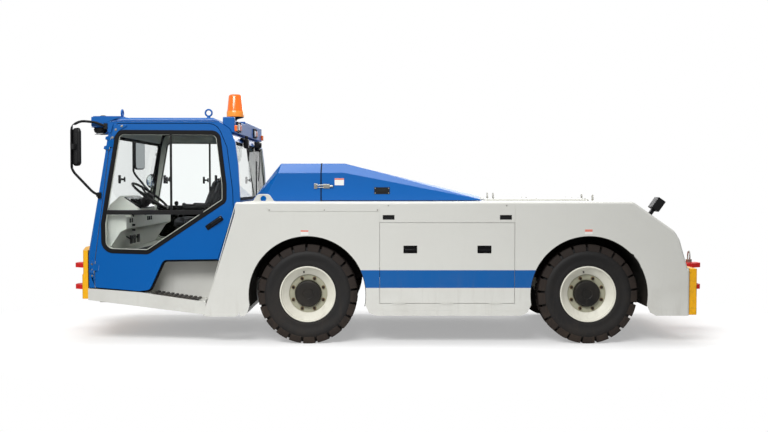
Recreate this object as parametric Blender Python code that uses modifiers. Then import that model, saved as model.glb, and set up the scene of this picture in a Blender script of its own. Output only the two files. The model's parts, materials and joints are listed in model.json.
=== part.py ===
"""Aircraft pushback tractor: steel chassis, forward cab, flat rear deck, four wheels.

Metres, +Z up.  The tractor faces -X, its left side is -Y, and it stands on z = 0
with the middle of its length and width on the origin.
"""
import math

import bmesh
import bpy
from mathutils import Matrix, Vector

# ---- clearances ---------------------------------------------------------------
GAP = 0.0003               # between pieces that touch
RUN = 0.007                # round a panel that opens
LAP = 0.003                # how far shapes of one piece run into each other
GLASS_GAP = 0.0007         # round the pane in a door

# ---- wheels and axles ---------------------------------------------------------
WHEEL_SIDES = 36           # facets round a wheel
TYRE_R = 0.52
TYRE_W = 0.27
TYRE_CHAMFER = 0.035
RIM_R = 0.292              # flange of the rim, and inside of the tyre
BARREL_R = 0.272           # inside of the rim's barrel at its mouth
BARREL_DEEP_R = 0.235      # inside of the barrel at the disc
DISC_DEPTH = 0.17          # from the tyre's outer face in to the wheel disc
DISC_T = 0.022
HUB_R = 0.137
HUB_OUT = 0.075            # how far the hub stands out of the disc
SPINDLE_R = 0.06
SPINDLE_RUN = 0.0008       # between spindle and hub bore, on the radius
WHEEL_Y = 1.03             # middle of a tyre
FRONT_AXLE_X = -0.838
REAR_AXLE_X = 2.076
AXLE_Z = TYRE_R * math.cos(math.pi / WHEEL_SIDES)
KINGPIN_Y = 0.88
KINGPIN_R = 0.048
KNUCKLE_HALF = 0.10        # half height of the knuckle between its ears
EAR_T = 0.03
AXLE_TUBE_R = 0.07
DIFF_R = 0.15

# ---- body ---------------------------------------------------------------------
BODY_HALF = 1.20           # outer face of the side skins
SKIN_T = 0.012
DECK_Z = 1.48
DECK_T = 0.02
BODY_FRONT_X = -1.577
BODY_REAR_X = 3.117
SKIRT_Z = 0.30
ARCH_R = 0.608
LINER_T = 0.012
LINER_IN_Y = 0.625         # inner edge of the arch liners
BODY_WALL_X = -1.50        # wall behind the cab
TAIL = (                   # x, z of the sloping tail, from the deck down
    (2.528, DECK_Z),
    (2.957, 1.178),
    (3.010, 1.093),
    (3.097, 0.789),
)
LOCKER = (-0.092, 1.308, 0.426, 1.266)      # x from, x to, z from, z to
HOOD_HALF = 0.80
HOOD_FRONT_X = -1.491
HOOD_SEAM_X = -0.717
HOOD_REAR_X = 0.985
HOOD_T = 0.014
HOOD_RISE = 0.405          # top of the hood above the deck
HOOD_SIDE_RISE = 0.303     # top of its side walls above the deck
HOOD_REAR_RISE = 0.050
HOOD_CHAMFER = 0.115
HATCH = (1.05, 2.20, 0.60)  # x from, x to, half width
HATCH_T = 0.02

# ---- chassis ------------------------------------------------------------------
RAIL_IN_Y = 0.52
RAIL_OUT_Y = 0.60
RAIL_TOP = 1.02
RAIL_BOTTOM = 0.68
CROSS_TOP = 0.80
CROSS_BOTTOM = 0.70
CROSS_T = 0.08
ENGINE = (-1.18, 0.50, 0.42, 1.56)          # x from, x to, half width, top z

# ---- cab ----------------------------------------------------------------------
CAB_HALF = 1.12
CAB_SKIN = 0.04            # thickness of the cab's sides and doors
CAB_FRONT_X = -3.125
CAB_KNEE_Z = 0.95          # the cab's front leans back above this
CAB_LEAN = 0.18            # metres back for each metre up
CAB_BOTTOM = 0.584
CAB_REAR_BOTTOM = 0.875
CAB_TOP = 2.322
ROOF_T = 0.029
FLOOR_TOP = 0.95
FLOOR_T = 0.035
PANEL_T = 0.02
SCREEN_BOTTOM = 1.12
SCREEN_TOP = 2.17
GLASS_T = 0.008
REAR_GLASS_BOTTOM = 1.49
REAR_GLASS_TOP = 2.107
CAB_REAR = (               # x, z down the back edge of the cab's side
    (-1.770, CAB_TOP),
    (-1.646, 2.234),
    (-1.590, REAR_GLASS_TOP),
    (-1.559, 1.852),
    (-1.542, REAR_GLASS_BOTTOM),
)
DOOR = (                   # x, z, corner radius of the door's outline
    (-3.055, 0.587, 0.02),
    (-3.053, 0.850, 0.00),
    (-2.880, 2.122, 0.20),
    (-2.834, 2.287, 0.06),
    (-1.775, 2.287, 0.13),
    (-1.677, 2.042, 0.00),
    (-1.621, 1.598, 0.30),
    (-1.614, 1.374, 0.10),
    (-1.778, 0.881, 0.02),
    (-2.345, 0.873, 0.06),
    (-2.489, 0.560, 0.05),
    (-2.593, 0.548, 0.00),
)
WINDOW = (                 # x, z, corner radius of the window in a door
    (-2.818, 2.218, 0.09),
    (-2.932, 1.556, 0.00),
    (-2.982, 1.248, 0.10),
    (-2.979, 0.953, 0.12),
    (-2.500, 0.938, 0.08),
    (-1.687, 1.480, 0.07),
    (-1.687, 1.660, 0.00),
    (-1.752, 2.211, 0.09),
)
HINGE_OUT = 0.015          # cab hinge line outside the skin
SILL_HALF_IN = 0.86        # inner edge of the sills that carry the steps
SILL = (                   # x, z of the sill below a door
    (-3.130, 0.455),
    (-3.130, 0.575),
    (-2.590, 0.534),
    (-1.905, 0.434),
    (-1.905, 0.300),
)

# ---- bumpers and hitches ------------------------------------------------------
BUMPER_BACK_X = -3.131
BUMPER_CORNER_X = -3.19
BUMPER_NOSE_X = -3.34
BUMPER_NOSE_HALF = 0.55
BUMPER_LOW = (0.466, 0.717)
BUMPER_HIGH = (0.716, 0.972)
REAR_PLATE_T = 0.08
REAR_PLATE_HALF = 1.18
REAR_PLATE_Z = (0.306, 0.788)
HITCH_HALF = 0.13
HITCH_TIP_X = 3.605        # both hitches end this far from the origin
PIN_X = 3.485
PIN_R = 0.021
PIN_RUN = 0.0007
JAW_LOW = (0.457, 0.510)
JAW_HIGH = (0.705, 0.756)

# ---- driving place ------------------------------------------------------------
DRIVER_Y = -0.50
DASH_TOP = 1.335
DASH_REAR_X = -2.745
WHEEL_HUB = (-2.627, DRIVER_Y, 1.534)
WHEEL_TILT = math.radians(36.6)
STEER_RING_R = 0.23
STEER_TUBE_R = 0.013
SEAT_HALF = 0.24
SEAT_X = (-2.34, -1.88)
SEAT_BASE_TOP = 1.18
CUSHION_TOP = 1.30
BACK_TOP = 1.74

for leftover in list(bpy.data.objects):
    bpy.data.objects.remove(leftover, do_unlink=True)

TRACTOR = bpy.data.collections.new("pushback_tractor")
bpy.context.scene.collection.children.link(TRACTOR)

COLOURS = {                # name: colour, roughness, metallic
    "blue_paint": ((0.003, 0.115, 0.527, 1.0), 0.32, 0.0),
    "white_paint": ((0.700, 0.715, 0.690, 1.0), 0.35, 0.0),
    "yellow_paint": ((0.913, 0.456, 0.009, 1.0), 0.40, 0.0),
    "red_paint": ((0.760, 0.017, 0.010, 1.0), 0.40, 0.0),
    "black_steel": ((0.020, 0.020, 0.022, 1.0), 0.55, 0.0),
    "black_plastic": ((0.018, 0.018, 0.020, 1.0), 0.60, 0.0),
    "grey_plastic": ((0.560, 0.590, 0.570, 1.0), 0.55, 0.0),
    "steel": ((0.450, 0.440, 0.420, 1.0), 0.35, 1.0),
    "glass": ((0.800, 0.860, 0.850, 1.0), 0.05, 0.0),
    "rubber": ((0.024, 0.020, 0.018, 1.0), 0.85, 0.0),
    "rim_paint": ((0.750, 0.740, 0.660, 1.0), 0.40, 0.0),
    "seat_fabric": ((0.030, 0.030, 0.034, 1.0), 0.90, 0.0),
    "amber": ((1.000, 0.250, 0.000, 1.0), 0.15, 0.0),
}


# ---- shapes -------------------------------------------------------------------
def add(name, mesh):
    """Put a mesh into the tractor's collection."""
    piece = bpy.data.objects.new(name, mesh)
    TRACTOR.objects.link(piece)
    return piece


def remove(pieces):
    for piece in pieces:
        bpy.data.objects.remove(piece, do_unlink=True)


def from_bmesh(name, bm):
    bmesh.ops.recalc_face_normals(bm, faces=bm.faces)
    mesh = bpy.data.meshes.new(name)
    bm.to_mesh(mesh)
    bm.free()
    return add(name, mesh)


def settled(piece):
    """Turn a curve, or a mesh with modifiers, into a plain welded mesh in world place."""
    bpy.context.view_layer.update()
    seen = piece.evaluated_get(bpy.context.evaluated_depsgraph_get())
    mesh = bpy.data.meshes.new_from_object(seen)
    mesh.transform(piece.matrix_world)
    bm = bmesh.new()
    bm.from_mesh(mesh)
    bmesh.ops.remove_doubles(bm, verts=bm.verts, dist=0.00002)
    name = piece.name
    bpy.data.meshes.remove(mesh)
    bpy.data.objects.remove(piece, do_unlink=True)
    return from_bmesh(name, bm)


def box(low, high, name="block"):
    bm = bmesh.new()
    bmesh.ops.create_cube(bm, size=1.0)
    size = Vector(high) - Vector(low)
    bmesh.ops.scale(bm, vec=size, verts=bm.verts)
    bmesh.ops.translate(bm, vec=Vector(low) + size / 2, verts=bm.verts)
    return from_bmesh(name, bm)


def cylinder(start, end, radius, sides=16, name="round"):
    """Cylinder between the middles of its two ends."""
    start, end = Vector(start), Vector(end)
    turn = (end - start).to_track_quat("Z", "Y").to_matrix().to_4x4()
    bm = bmesh.new()
    bmesh.ops.create_cone(
        bm, cap_ends=True, segments=sides, radius1=radius, radius2=radius,
        depth=(end - start).length,
        matrix=Matrix.Translation((start + end) / 2) @ turn)
    return from_bmesh(name, bm)


def hull(points, name="hull"):
    """Smallest convex solid round the points."""
    bm = bmesh.new()
    for point in points:
        bm.verts.new(point)
    made = bmesh.ops.convex_hull(bm, input=bm.verts)
    inside = [item for item in made["geom_interior"] if isinstance(item, bmesh.types.BMVert)]
    bmesh.ops.delete(bm, geom=inside, context="VERTS")
    return from_bmesh(name, bm)


def arc(centre_x, centre_z, radius, start, end, steps):
    """Points of an arc, from the start angle to the end angle in degrees."""
    points = []
    for step in range(steps + 1):
        angle = math.radians(start + (end - start) * step / steps)
        points.append((centre_x + radius * math.cos(angle), centre_z + radius * math.sin(angle)))
    return points


def rounded(corners, steps=3):
    """Outline from corners x, z, radius: an arc of the radius stands in for the corner."""
    outline = []
    count = len(corners)
    for index, corner in enumerate(corners):
        here = Vector(corner[:2])
        radius = corner[2] if len(corner) > 2 else 0.0
        before = (Vector(corners[index - 1][:2]) - here).normalized()
        after = (Vector(corners[(index + 1) % count][:2]) - here).normalized()
        half = before.angle(after) / 2
        if radius <= 0.0 or half > math.radians(88.0):
            outline.append(tuple(here))
            continue
        reach = radius / math.tan(half)
        middle = here + (before + after).normalized() * radius / math.sin(half)
        first = here + before * reach - middle
        last = here + after * reach - middle
        swing = first.angle_signed(last)
        for step in range(steps + 1):
            spin = Matrix.Rotation(-swing * step / steps, 2)
            outline.append(tuple(middle + spin @ first))
    return outline


def grown(outline, by):
    """The outline moved outwards by a distance, or inwards where it is below 0."""
    area = 0.0
    count = len(outline)
    for index in range(count):
        here, after = outline[index], outline[(index + 1) % count]
        area += here[0] * after[1] - after[0] * here[1]
    side = 1.0 if area > 0 else -1.0
    moved = []
    for index in range(count):
        here = Vector(outline[index])
        before = (here - Vector(outline[index - 1])).normalized()
        after = (Vector(outline[(index + 1) % count]) - here).normalized()
        out_before = Vector((before.y, -before.x)) * side
        out_after = Vector((after.y, -after.x)) * side
        both = (out_before + out_after).normalized()
        moved.append(tuple(here + both * by / max(both.dot(out_before), 0.3)))
    return moved


PLANES = {                 # outline plane: axes of the curve's own x, y and z
    "XZ": ((1, 0, 0), (0, 0, 1), (0, -1, 0)),
    "XY": ((1, 0, 0), (0, 1, 0), (0, 0, 1)),
    "YZ": ((0, 1, 0), (0, 0, 1), (1, 0, 0)),
}


def plate(outlines, plane, low, high, name="plate"):
    """Flat outlines, the later ones holes, pushed from low to high across their plane."""
    curve = bpy.data.curves.new(name, "CURVE")
    curve.dimensions = "2D"
    curve.fill_mode = "BOTH"
    curve.extrude = (high - low) / 2
    for outline in outlines:
        spline = curve.splines.new("POLY")
        spline.points.add(len(outline) - 1)
        for point, place in zip(spline.points, outline):
            point.co = (place[0], place[1], 0.0, 1.0)
        spline.use_cyclic_u = True
    piece = add(name, curve)
    axes = [Vector(axis) for axis in PLANES[plane]]
    turn = Matrix(axes).transposed().to_4x4()
    across = Vector([abs(value) for value in axes[2]])
    piece.matrix_world = Matrix.Translation(across * (low + high) / 2) @ turn
    return settled(piece)


def tube(points, radius, name="tube", smooth=1):
    """Round bar along the points, its ends closed."""
    curve = bpy.data.curves.new(name, "CURVE")
    curve.dimensions = "3D"
    curve.bevel_depth = radius
    curve.bevel_resolution = smooth
    curve.use_fill_caps = True
    spline = curve.splines.new("POLY")
    spline.points.add(len(points) - 1)
    for point, place in zip(spline.points, points):
        point.co = (*place, 1.0)
    return settled(add(name, curve))


def bent(points, radius, steps=3):
    """Path through the points with its corners rounded."""
    path = [Vector(points[0])]
    for before, here, after in zip(points, points[1:], points[2:]):
        here = Vector(here)
        back = Vector(before) - here
        ahead = Vector(after) - here
        reach = min(radius, back.length * 0.45, ahead.length * 0.45)
        start = here + back.normalized() * reach
        end = here + ahead.normalized() * reach
        for step in range(steps + 1):
            share = step / steps
            path.append(start.lerp(here, share).lerp(here.lerp(end, share), share))
    path.append(Vector(points[-1]))
    return path


def turned(profile, place, axis, sides=WHEEL_SIDES, name="turned"):
    """Profile of radius and height, turned about an axis through the place."""
    mesh = bpy.data.meshes.new(name)
    edges = [(index, index + 1) for index in range(len(profile) - 1)]
    if profile[0][0] > 0 and profile[-1][0] > 0:
        edges.append((len(profile) - 1, 0))
    mesh.from_pydata([(radius, 0.0, height) for radius, height in profile], edges, [])
    piece = add(name, mesh)
    screw = piece.modifiers.new("turn", "SCREW")
    screw.steps = screw.render_steps = sides
    screw.use_merge_vertices = True
    screw.merge_threshold = 0.0001
    turn = Vector(axis).to_track_quat("Z", "X").to_matrix().to_4x4()
    start = Matrix.Rotation(math.pi / sides, 4, "Z")
    piece.matrix_world = Matrix.Translation(place) @ turn @ start
    return settled(piece)


def combine(piece, others, operation):
    """Join the other shapes to the piece, or cut them from it, and take them away."""
    for other in others:
        step = piece.modifiers.new(operation.lower(), "BOOLEAN")
        step.operation = operation
        step.object = other
    made = settled(piece)
    remove(others)
    return made


def join(piece, *others):
    return combine(piece, others, "UNION")


def cut(piece, *others):
    return combine(piece, others, "DIFFERENCE")


def mirrored(piece, name="mirrored"):
    """Copy of the piece on the tractor's other side."""
    mesh = piece.data.copy()
    mesh.transform(piece.matrix_world)
    mesh.transform(Matrix.Scale(-1.0, 4, (0, 1, 0)))
    mesh.flip_normals()
    return add(name, mesh)


def turned_about(piece, place, axis, angle):
    """Turn the piece's mesh about an axis through the place."""
    place = Vector(place)
    spin = Matrix.Rotation(angle, 4, Vector(axis))
    piece.data.transform(Matrix.Translation(place) @ spin @ Matrix.Translation(-place))
    return piece


def name_part(piece, name, colour, pivot=None):
    """Give a finished piece its name, its own material, and its origin on its joint."""
    piece.name = name
    piece.data.name = name
    base, roughness, metallic = COLOURS[colour]
    material = bpy.data.materials.new(name + "_" + colour)
    material.use_nodes = True
    shader = material.node_tree.nodes["Principled BSDF"]
    shader.inputs["Base Color"].default_value = base
    shader.inputs["Roughness"].default_value = roughness
    shader.inputs["Metallic"].default_value = metallic
    piece.data.materials.clear()
    piece.data.materials.append(material)
    piece.data.shade_smooth()
    piece.data.set_sharp_from_angle(angle=math.radians(30))
    if pivot is not None:
        piece.data.transform(Matrix.Translation(-Vector(pivot)))
        piece.location = pivot
    return piece


def hinge_pair(centre, along, to_leaf, to_frame, radius, half, ear):
    """Hinge: a barrel with its leaf, and the two ears with theirs, as two lists of shapes."""
    centre, along = Vector(centre), Vector(along).normalized()

    def leaf(low, high, reach):
        points = []
        for height in (low, high):
            across = along.orthogonal().normalized()
            for side in range(8):
                spin = Matrix.Rotation(math.tau * side / 8, 3, along)
                rim = spin @ across
                points.append(centre + along * height + rim * radius)
                points.append(centre + along * height + Vector(reach) + rim * radius * 0.3)
        return hull(points)

    moving = [leaf(-half, half, to_leaf)]
    fixed = [leaf(half + GAP, half + ear, to_frame), leaf(-half - ear, -half - GAP, to_frame)]
    return moving, fixed


# ---- outlines used by more than one piece -------------------------------------
def cab_front(height, back=0.0):
    """X of the cab's front at a height, or a distance behind it."""
    return CAB_FRONT_X + max(0.0, height - CAB_KNEE_Z) * CAB_LEAN + back


def arch(axle_x, radius, start, end, steps=14):
    return arc(axle_x, AXLE_Z, radius, start, end, steps)


ARCH_DIP = 10.0            # degrees the arches run down past level
CAB_SIDE = [
    (CAB_FRONT_X, CAB_BOTTOM),
    (CAB_FRONT_X, CAB_KNEE_Z),
    (cab_front(CAB_TOP), CAB_TOP),
    *CAB_REAR,
    (CAB_REAR[-1][0], CAB_REAR_BOTTOM),
    (DOOR[-1][0], CAB_REAR_BOTTOM),
    (DOOR[-1][0], CAB_BOTTOM),
]
DOOR_LINE = rounded(DOOR)
WINDOW_LINE = rounded(WINDOW)
SKIN_IN = BODY_HALF - SKIN_T
CAB_IN = CAB_HALF - CAB_SKIN


# ---- chassis and axles --------------------------------------------------------
def chassis_frame():
    front = box((-3.09, RAIL_IN_Y, 0.46), (BODY_WALL_X, RAIL_OUT_Y, FLOOR_TOP - FLOOR_T - GAP))
    rear = box((BODY_WALL_X - 0.035, RAIL_IN_Y, RAIL_BOTTOM), (TAIL[1][0], RAIL_OUT_Y, RAIL_TOP))
    low, high = RAIL_BOTTOM, TAIL[-1][1] - GAP
    shapes = [rear, box((TAIL[1][0] - 0.05, RAIL_IN_Y, low), (BODY_REAR_X - 0.05, RAIL_OUT_Y, high))]
    for x in (-1.30, -0.12, 0.62, 1.34, 2.60):
        reach = SKIN_IN - GAP if x in (-0.12, 1.34) else RAIL_IN_Y + LAP
        shapes.append(box((x, -LAP, CROSS_BOTTOM), (x + CROSS_T, reach, CROSS_TOP)))
    shapes.append(box((BUMPER_BACK_X + GAP, -LAP, 0.455), (-3.05, 0.80, 0.572)))
    shapes.append(box((BODY_REAR_X - 0.06, -LAP, 0.32), (BODY_REAR_X - GAP, 1.12, TAIL[-1][1] - GAP)))
    half = join(front, *shapes)
    other = mirrored(half)
    return name_part(join(half, other), "chassis_frame", "black_steel")


def axle_pads(axle_x):
    """Blocks that carry the rails on an axle."""
    middle = (RAIL_IN_Y + RAIL_OUT_Y) / 2
    return [
        box((axle_x - 0.09, side * middle - 0.045, AXLE_Z),
            (axle_x + 0.09, side * middle + 0.045, RAIL_BOTTOM - GAP))
        for side in (-1, 1)
    ]


def differential(axle_x):
    case = [(0.0, 0.14), (0.07, 0.13), (DIFF_R, 0.05), (DIFF_R, -0.05), (0.07, -0.13), (0.0, -0.14)]
    return turned(case, (axle_x, 0.0, AXLE_Z), (1, 0, 0), 24)


def front_axle():
    beam = cylinder((FRONT_AXLE_X, -0.80, AXLE_Z), (FRONT_AXLE_X, 0.80, AXLE_Z), AXLE_TUBE_R)
    shapes = [differential(FRONT_AXLE_X), *axle_pads(FRONT_AXLE_X)]
    for side in (-1, 1):
        low, high = sorted((side * 0.785, side * 0.81))
        top = KNUCKLE_HALF + GAP + EAR_T
        shapes.append(box((FRONT_AXLE_X - 0.055, low, AXLE_Z - top),
                          (FRONT_AXLE_X + 0.055, high, AXLE_Z + top)))
        for up in (-1, 1):
            near = AXLE_Z + up * (KNUCKLE_HALF + GAP)
            ear = cylinder((FRONT_AXLE_X, side * KINGPIN_Y, near),
                           (FRONT_AXLE_X, side * KINGPIN_Y, near + up * EAR_T), 0.055)
            arm = box((FRONT_AXLE_X - 0.05, min(side * 0.80, side * KINGPIN_Y),
                       min(near, near + up * EAR_T)),
                      (FRONT_AXLE_X + 0.05, max(side * 0.80, side * KINGPIN_Y),
                       max(near, near + up * EAR_T)))
            shapes += [ear, arm]
    return name_part(join(beam, *shapes), "front_axle", "black_steel")


def rear_axle():
    beam = cylinder((REAR_AXLE_X, -0.93, AXLE_Z), (REAR_AXLE_X, 0.93, AXLE_Z), AXLE_TUBE_R * 1.2)
    shapes = [differential(REAR_AXLE_X), *axle_pads(REAR_AXLE_X)]
    for side in (-1, 1):
        shapes.append(spindle(REAR_AXLE_X, side, 0.90))
    return name_part(join(beam, *shapes), "rear_axle", "black_steel")


OUTER_Y = WHEEL_Y + TYRE_W / 2
DISC_Y = OUTER_Y - DISC_DEPTH
BORE_Y = DISC_Y + 0.03


def spindle(axle_x, side, start):
    return cylinder((axle_x, side * start, AXLE_Z), (axle_x, side * (BORE_Y - 0.002), AXLE_Z),
                    SPINDLE_R, WHEEL_SIDES)


def knuckle(side, name):
    pin = (FRONT_AXLE_X, side * KINGPIN_Y, AXLE_Z)
    body = cylinder((pin[0], pin[1], AXLE_Z - KNUCKLE_HALF),
                    (pin[0], pin[1], AXLE_Z + KNUCKLE_HALF), KINGPIN_R)
    flange = cylinder(pin, (pin[0], side * (DISC_Y - 0.045), AXLE_Z), 0.085, WHEEL_SIDES)
    whole = join(body, flange, spindle(FRONT_AXLE_X, side, KINGPIN_Y))
    return name_part(whole, name, "black_steel", pin)


def wheel(axle_x, side, end):
    """One tyre and its rim, both turned about the axle."""
    half = TYRE_W / 2
    tyre_profile = [
        (RIM_R + GAP, half), (RIM_R + GAP, -half),
        (TYRE_R - TYRE_CHAMFER * 1.6, -half), (TYRE_R, -half + TYRE_CHAMFER),
        (TYRE_R, half - TYRE_CHAMFER), (TYRE_R - TYRE_CHAMFER * 1.6, half),
    ]
    disc = half - DISC_DEPTH
    bore = SPINDLE_R + SPINDLE_RUN
    rim_profile = [
        (0.0, disc + HUB_OUT), (HUB_R, disc + HUB_OUT), (HUB_R, disc),
        (BARREL_DEEP_R, disc), (BARREL_R, half - 0.008), (RIM_R, half - 0.008),
        (RIM_R, -half + 0.008), (BARREL_R, -half + 0.008), (BARREL_DEEP_R, disc - DISC_T),
        (bore, disc - DISC_T), (bore, BORE_Y - WHEEL_Y), (0.0, BORE_Y - WHEEL_Y),
    ]
    place = (axle_x, side * WHEEL_Y, AXLE_Z)
    tyre = turned(tyre_profile, place, (0, side, 0))
    rim = turned(rim_profile, place, (0, side, 0))
    name_part(tyre, "tyre_" + end, "rubber", place)
    name_part(rim, "rim_" + end, "rim_paint", place)


# ---- body ---------------------------------------------------------------------
def side_panel(name):
    """Left side: skin with its arches and locker opening, black liners round the wheels."""
    skirt_front = [(-1.909, 0.313), (-1.884, SKIRT_Z - 0.008), (-1.546, SKIRT_Z - 0.008, 0.05)]
    outline = rounded([(BODY_FRONT_X, DECK_Z), (-1.585, 1.361), *skirt_front], 4)
    outline += arch(FRONT_AXLE_X, ARCH_R, 180 + ARCH_DIP, -ARCH_DIP)
    outline += [(FRONT_AXLE_X + ARCH_R + 0.03, SKIRT_Z + 0.03), (FRONT_AXLE_X + ARCH_R + 0.10, SKIRT_Z)]
    outline += [(REAR_AXLE_X - ARCH_R - 0.10, SKIRT_Z), (REAR_AXLE_X - ARCH_R - 0.03, SKIRT_Z + 0.03)]
    outline += arch(REAR_AXLE_X, ARCH_R, 180 + ARCH_DIP, -ARCH_DIP)
    outline += [(REAR_AXLE_X + ARCH_R + 0.03, SKIRT_Z + 0.03), (REAR_AXLE_X + ARCH_R + 0.09, SKIRT_Z)]
    outline += [(BODY_REAR_X, SKIRT_Z), (BODY_REAR_X, TAIL[-1][1])]
    outline += list(reversed(TAIL))
    x0, x1, z0, z1 = LOCKER
    opening = [(x0, z0), (x1, z0), (x1, z1), (x0, z1)]
    panel = plate([outline, opening], "XZ", -BODY_HALF, -SKIN_IN)
    liners = []
    for axle_x in (FRONT_AXLE_X, REAR_AXLE_X):
        dip = ARCH_DIP + 2.0
        band = arch(axle_x, ARCH_R - LINER_T / 2, 180 + dip, -dip)
        band += arch(axle_x, ARCH_R + LINER_T / 2, -dip, 180 + dip)
        liners.append(plate([band], "XZ", -BODY_HALF + LAP, -LINER_IN_Y))
    flange = hull([(x, y, z) for y in (-SKIN_IN - LAP, -CAB_HALF - 0.012)
                   for x, z in ((BODY_FRONT_X + 0.002, DECK_Z - 0.02), (BODY_FRONT_X + 0.014, DECK_Z - 0.02),
                                (-1.904, 0.32), (-1.892, 0.32))])
    return join(panel, flange, *liners)


def locker_door():
    """Door panel of the left side, and the hinges it shares with the side panel."""
    x0, x1, z0, z1 = LOCKER
    door = box((x0 + RUN, -BODY_HALF, z0 + RUN), (x1 - RUN, -SKIN_IN, z1 - RUN))
    axis = (0.0, -BODY_HALF - 0.0065, z0 + RUN / 2)
    on_door, on_panel = [], []
    for x in (x0 + 0.2, (x0 + x1) / 2, x1 - 0.2):
        moving, fixed = hinge_pair((x, axis[1], axis[2]), (1, 0, 0),
                                   (0, 0.010, 0.022), (0, 0.010, -0.022),
                                   0.005, 0.04, 0.03)
        on_door += moving
        on_panel += fixed
    return join(door, *on_door), on_panel, axis


def body_sides():
    panel = side_panel("side_panel")
    door, ears, axis = locker_door()
    left = join(panel, *ears)
    right, right_door = mirrored(left), mirrored(door)
    name_part(left, "side_panel_left", "white_paint")
    name_part(right, "side_panel_right", "white_paint")
    name_part(door, "locker_door_left", "white_paint", axis)
    name_part(right_door, "locker_door_right", "white_paint", (axis[0], -axis[1], axis[2]))


def deck():
    """Flat top with the openings under hood and hatch, the wall behind the cab, lifting lugs."""
    half = SKIN_IN - GAP
    outer = [(BODY_WALL_X, -half), (TAIL[0][0], -half), (TAIL[0][0], half), (BODY_WALL_X, half)]
    inset = 0.09
    under_hood = [(HOOD_FRONT_X + 0.13, -HOOD_HALF + inset), (HOOD_REAR_X - inset, -HOOD_HALF + inset),
                  (HOOD_REAR_X - inset, HOOD_HALF - inset), (HOOD_FRONT_X + 0.13, HOOD_HALF - inset)]
    x0, x1, hatch_half = HATCH
    under_hatch = [(x0 + inset, -hatch_half + inset), (x1 - inset, -hatch_half + inset),
                   (x1 - inset, hatch_half - inset), (x0 + inset, hatch_half - inset)]
    top = plate([outer, under_hood, under_hatch], "XY", DECK_Z - DECK_T, DECK_Z)
    wall = box((BODY_WALL_X, -half, RAIL_TOP + GAP), (BODY_WALL_X + DECK_T, half, DECK_Z - DECK_T / 2))
    shapes = [wall]
    for side in (-1, 1):
        lug = [(-1.409, DECK_Z - DECK_T / 2), (-1.178, DECK_Z - DECK_T / 2),
               (-1.235, DECK_Z + 0.079, 0.04), (-1.352, DECK_Z + 0.079, 0.04)]
        hole = arc(-1.2935, DECK_Z + 0.035, 0.028, 0, 330, 11)
        shapes.append(plate([rounded(lug), hole], "XZ", side * 1.15 - 0.015, side * 1.15 + 0.015))
    top = join(top, *shapes)
    barrels, ears = hood_hinges()
    remove(barrels)
    return name_part(join(top, *ears), "deck", "white_paint")


HOOD_AXIS = (HOOD_REAR_X + 0.016, 0.0, DECK_Z + 0.016)


def hood_hinges():
    on_hood, on_deck = [], []
    for y in (-0.45, 0.45):
        moving, fixed = hinge_pair((HOOD_AXIS[0], y, HOOD_AXIS[2]), (0, 1, 0), (-0.026, 0, 0.004),
                                   (0.004, 0, -0.022), 0.009, 0.04, 0.03)
        on_hood += moving
        on_deck += fixed
    return on_hood, on_deck


def tail_panel():
    """Sloping tail between the side skins."""
    back = [(TAIL[0][0] + GAP, DECK_Z), *TAIL[1:]]
    front = [(x - 0.014, z - 0.014) for x, z in reversed(TAIL[1:-1])]
    outline = back + [(TAIL[-1][0] - 0.016, TAIL[-1][1])] + front + [(TAIL[0][0] + GAP, DECK_Z - 0.016)]
    return name_part(plate([outline], "XZ", -SKIN_IN + GAP, SKIN_IN - GAP), "tail_panel", "white_paint")


def rear_hatch():
    x0, x1, half = HATCH
    lid = plate([rounded([(x0, -half, 0.03), (x1, -half, 0.03), (x1, half, 0.03), (x0, half, 0.03)])],
                "XY", DECK_Z + GAP, DECK_Z + HATCH_T)
    return name_part(lid, "rear_hatch", "white_paint")


def hood_shell(x_from, x_to, wall, floor):
    """Corners of the hood between two stations, its wall thickness left away."""
    top_front = HOOD_FRONT_X + 0.326
    side_half, top_half = HOOD_HALF - wall, HOOD_HALF - HOOD_CHAMFER - wall * 0.7
    points = []

    def station(x, share):
        side_z = DECK_Z + HOOD_SIDE_RISE + (HOOD_REAR_RISE * 0.4 - HOOD_SIDE_RISE) * share - wall * 0.5
        top_z = DECK_Z + HOOD_RISE + (HOOD_REAR_RISE - HOOD_RISE) * share - wall
        for side in (-1, 1):
            points.append((x, side * side_half, floor))
            points.append((x, side * side_half, max(side_z, floor + 0.001)))
            points.append((x, side * top_half, max(top_z, floor + 0.002)))

    slope_from = -0.468
    run = HOOD_REAR_X - slope_from
    for x in (x_from, x_to):
        if x > slope_from:
            station(x - (wall if x == x_to == HOOD_REAR_X else 0.0), (x - slope_from) / run)
        elif x > HOOD_FRONT_X + 0.01:
            station(x, 0.0)
    if x_from < slope_from < x_to:
        station(slope_from, 0.0)
    if x_from <= HOOD_FRONT_X:
        for side in (-1, 1):
            points += [
                (HOOD_FRONT_X + wall * 1.4, side * 0.62, floor),
                (HOOD_FRONT_X + 0.16 + wall * 1.4, side * side_half, floor),
                (HOOD_FRONT_X + 0.267 + wall * 1.2, side * 0.62, DECK_Z + 0.315 - wall),
                (HOOD_FRONT_X + 0.311 + wall * 1.2, side * side_half,
                  DECK_Z + HOOD_SIDE_RISE - wall * 0.5),
                (top_front + wall * 0.5, side * (top_half - 0.05), DECK_Z + HOOD_RISE - wall),
            ]
    return points


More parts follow.
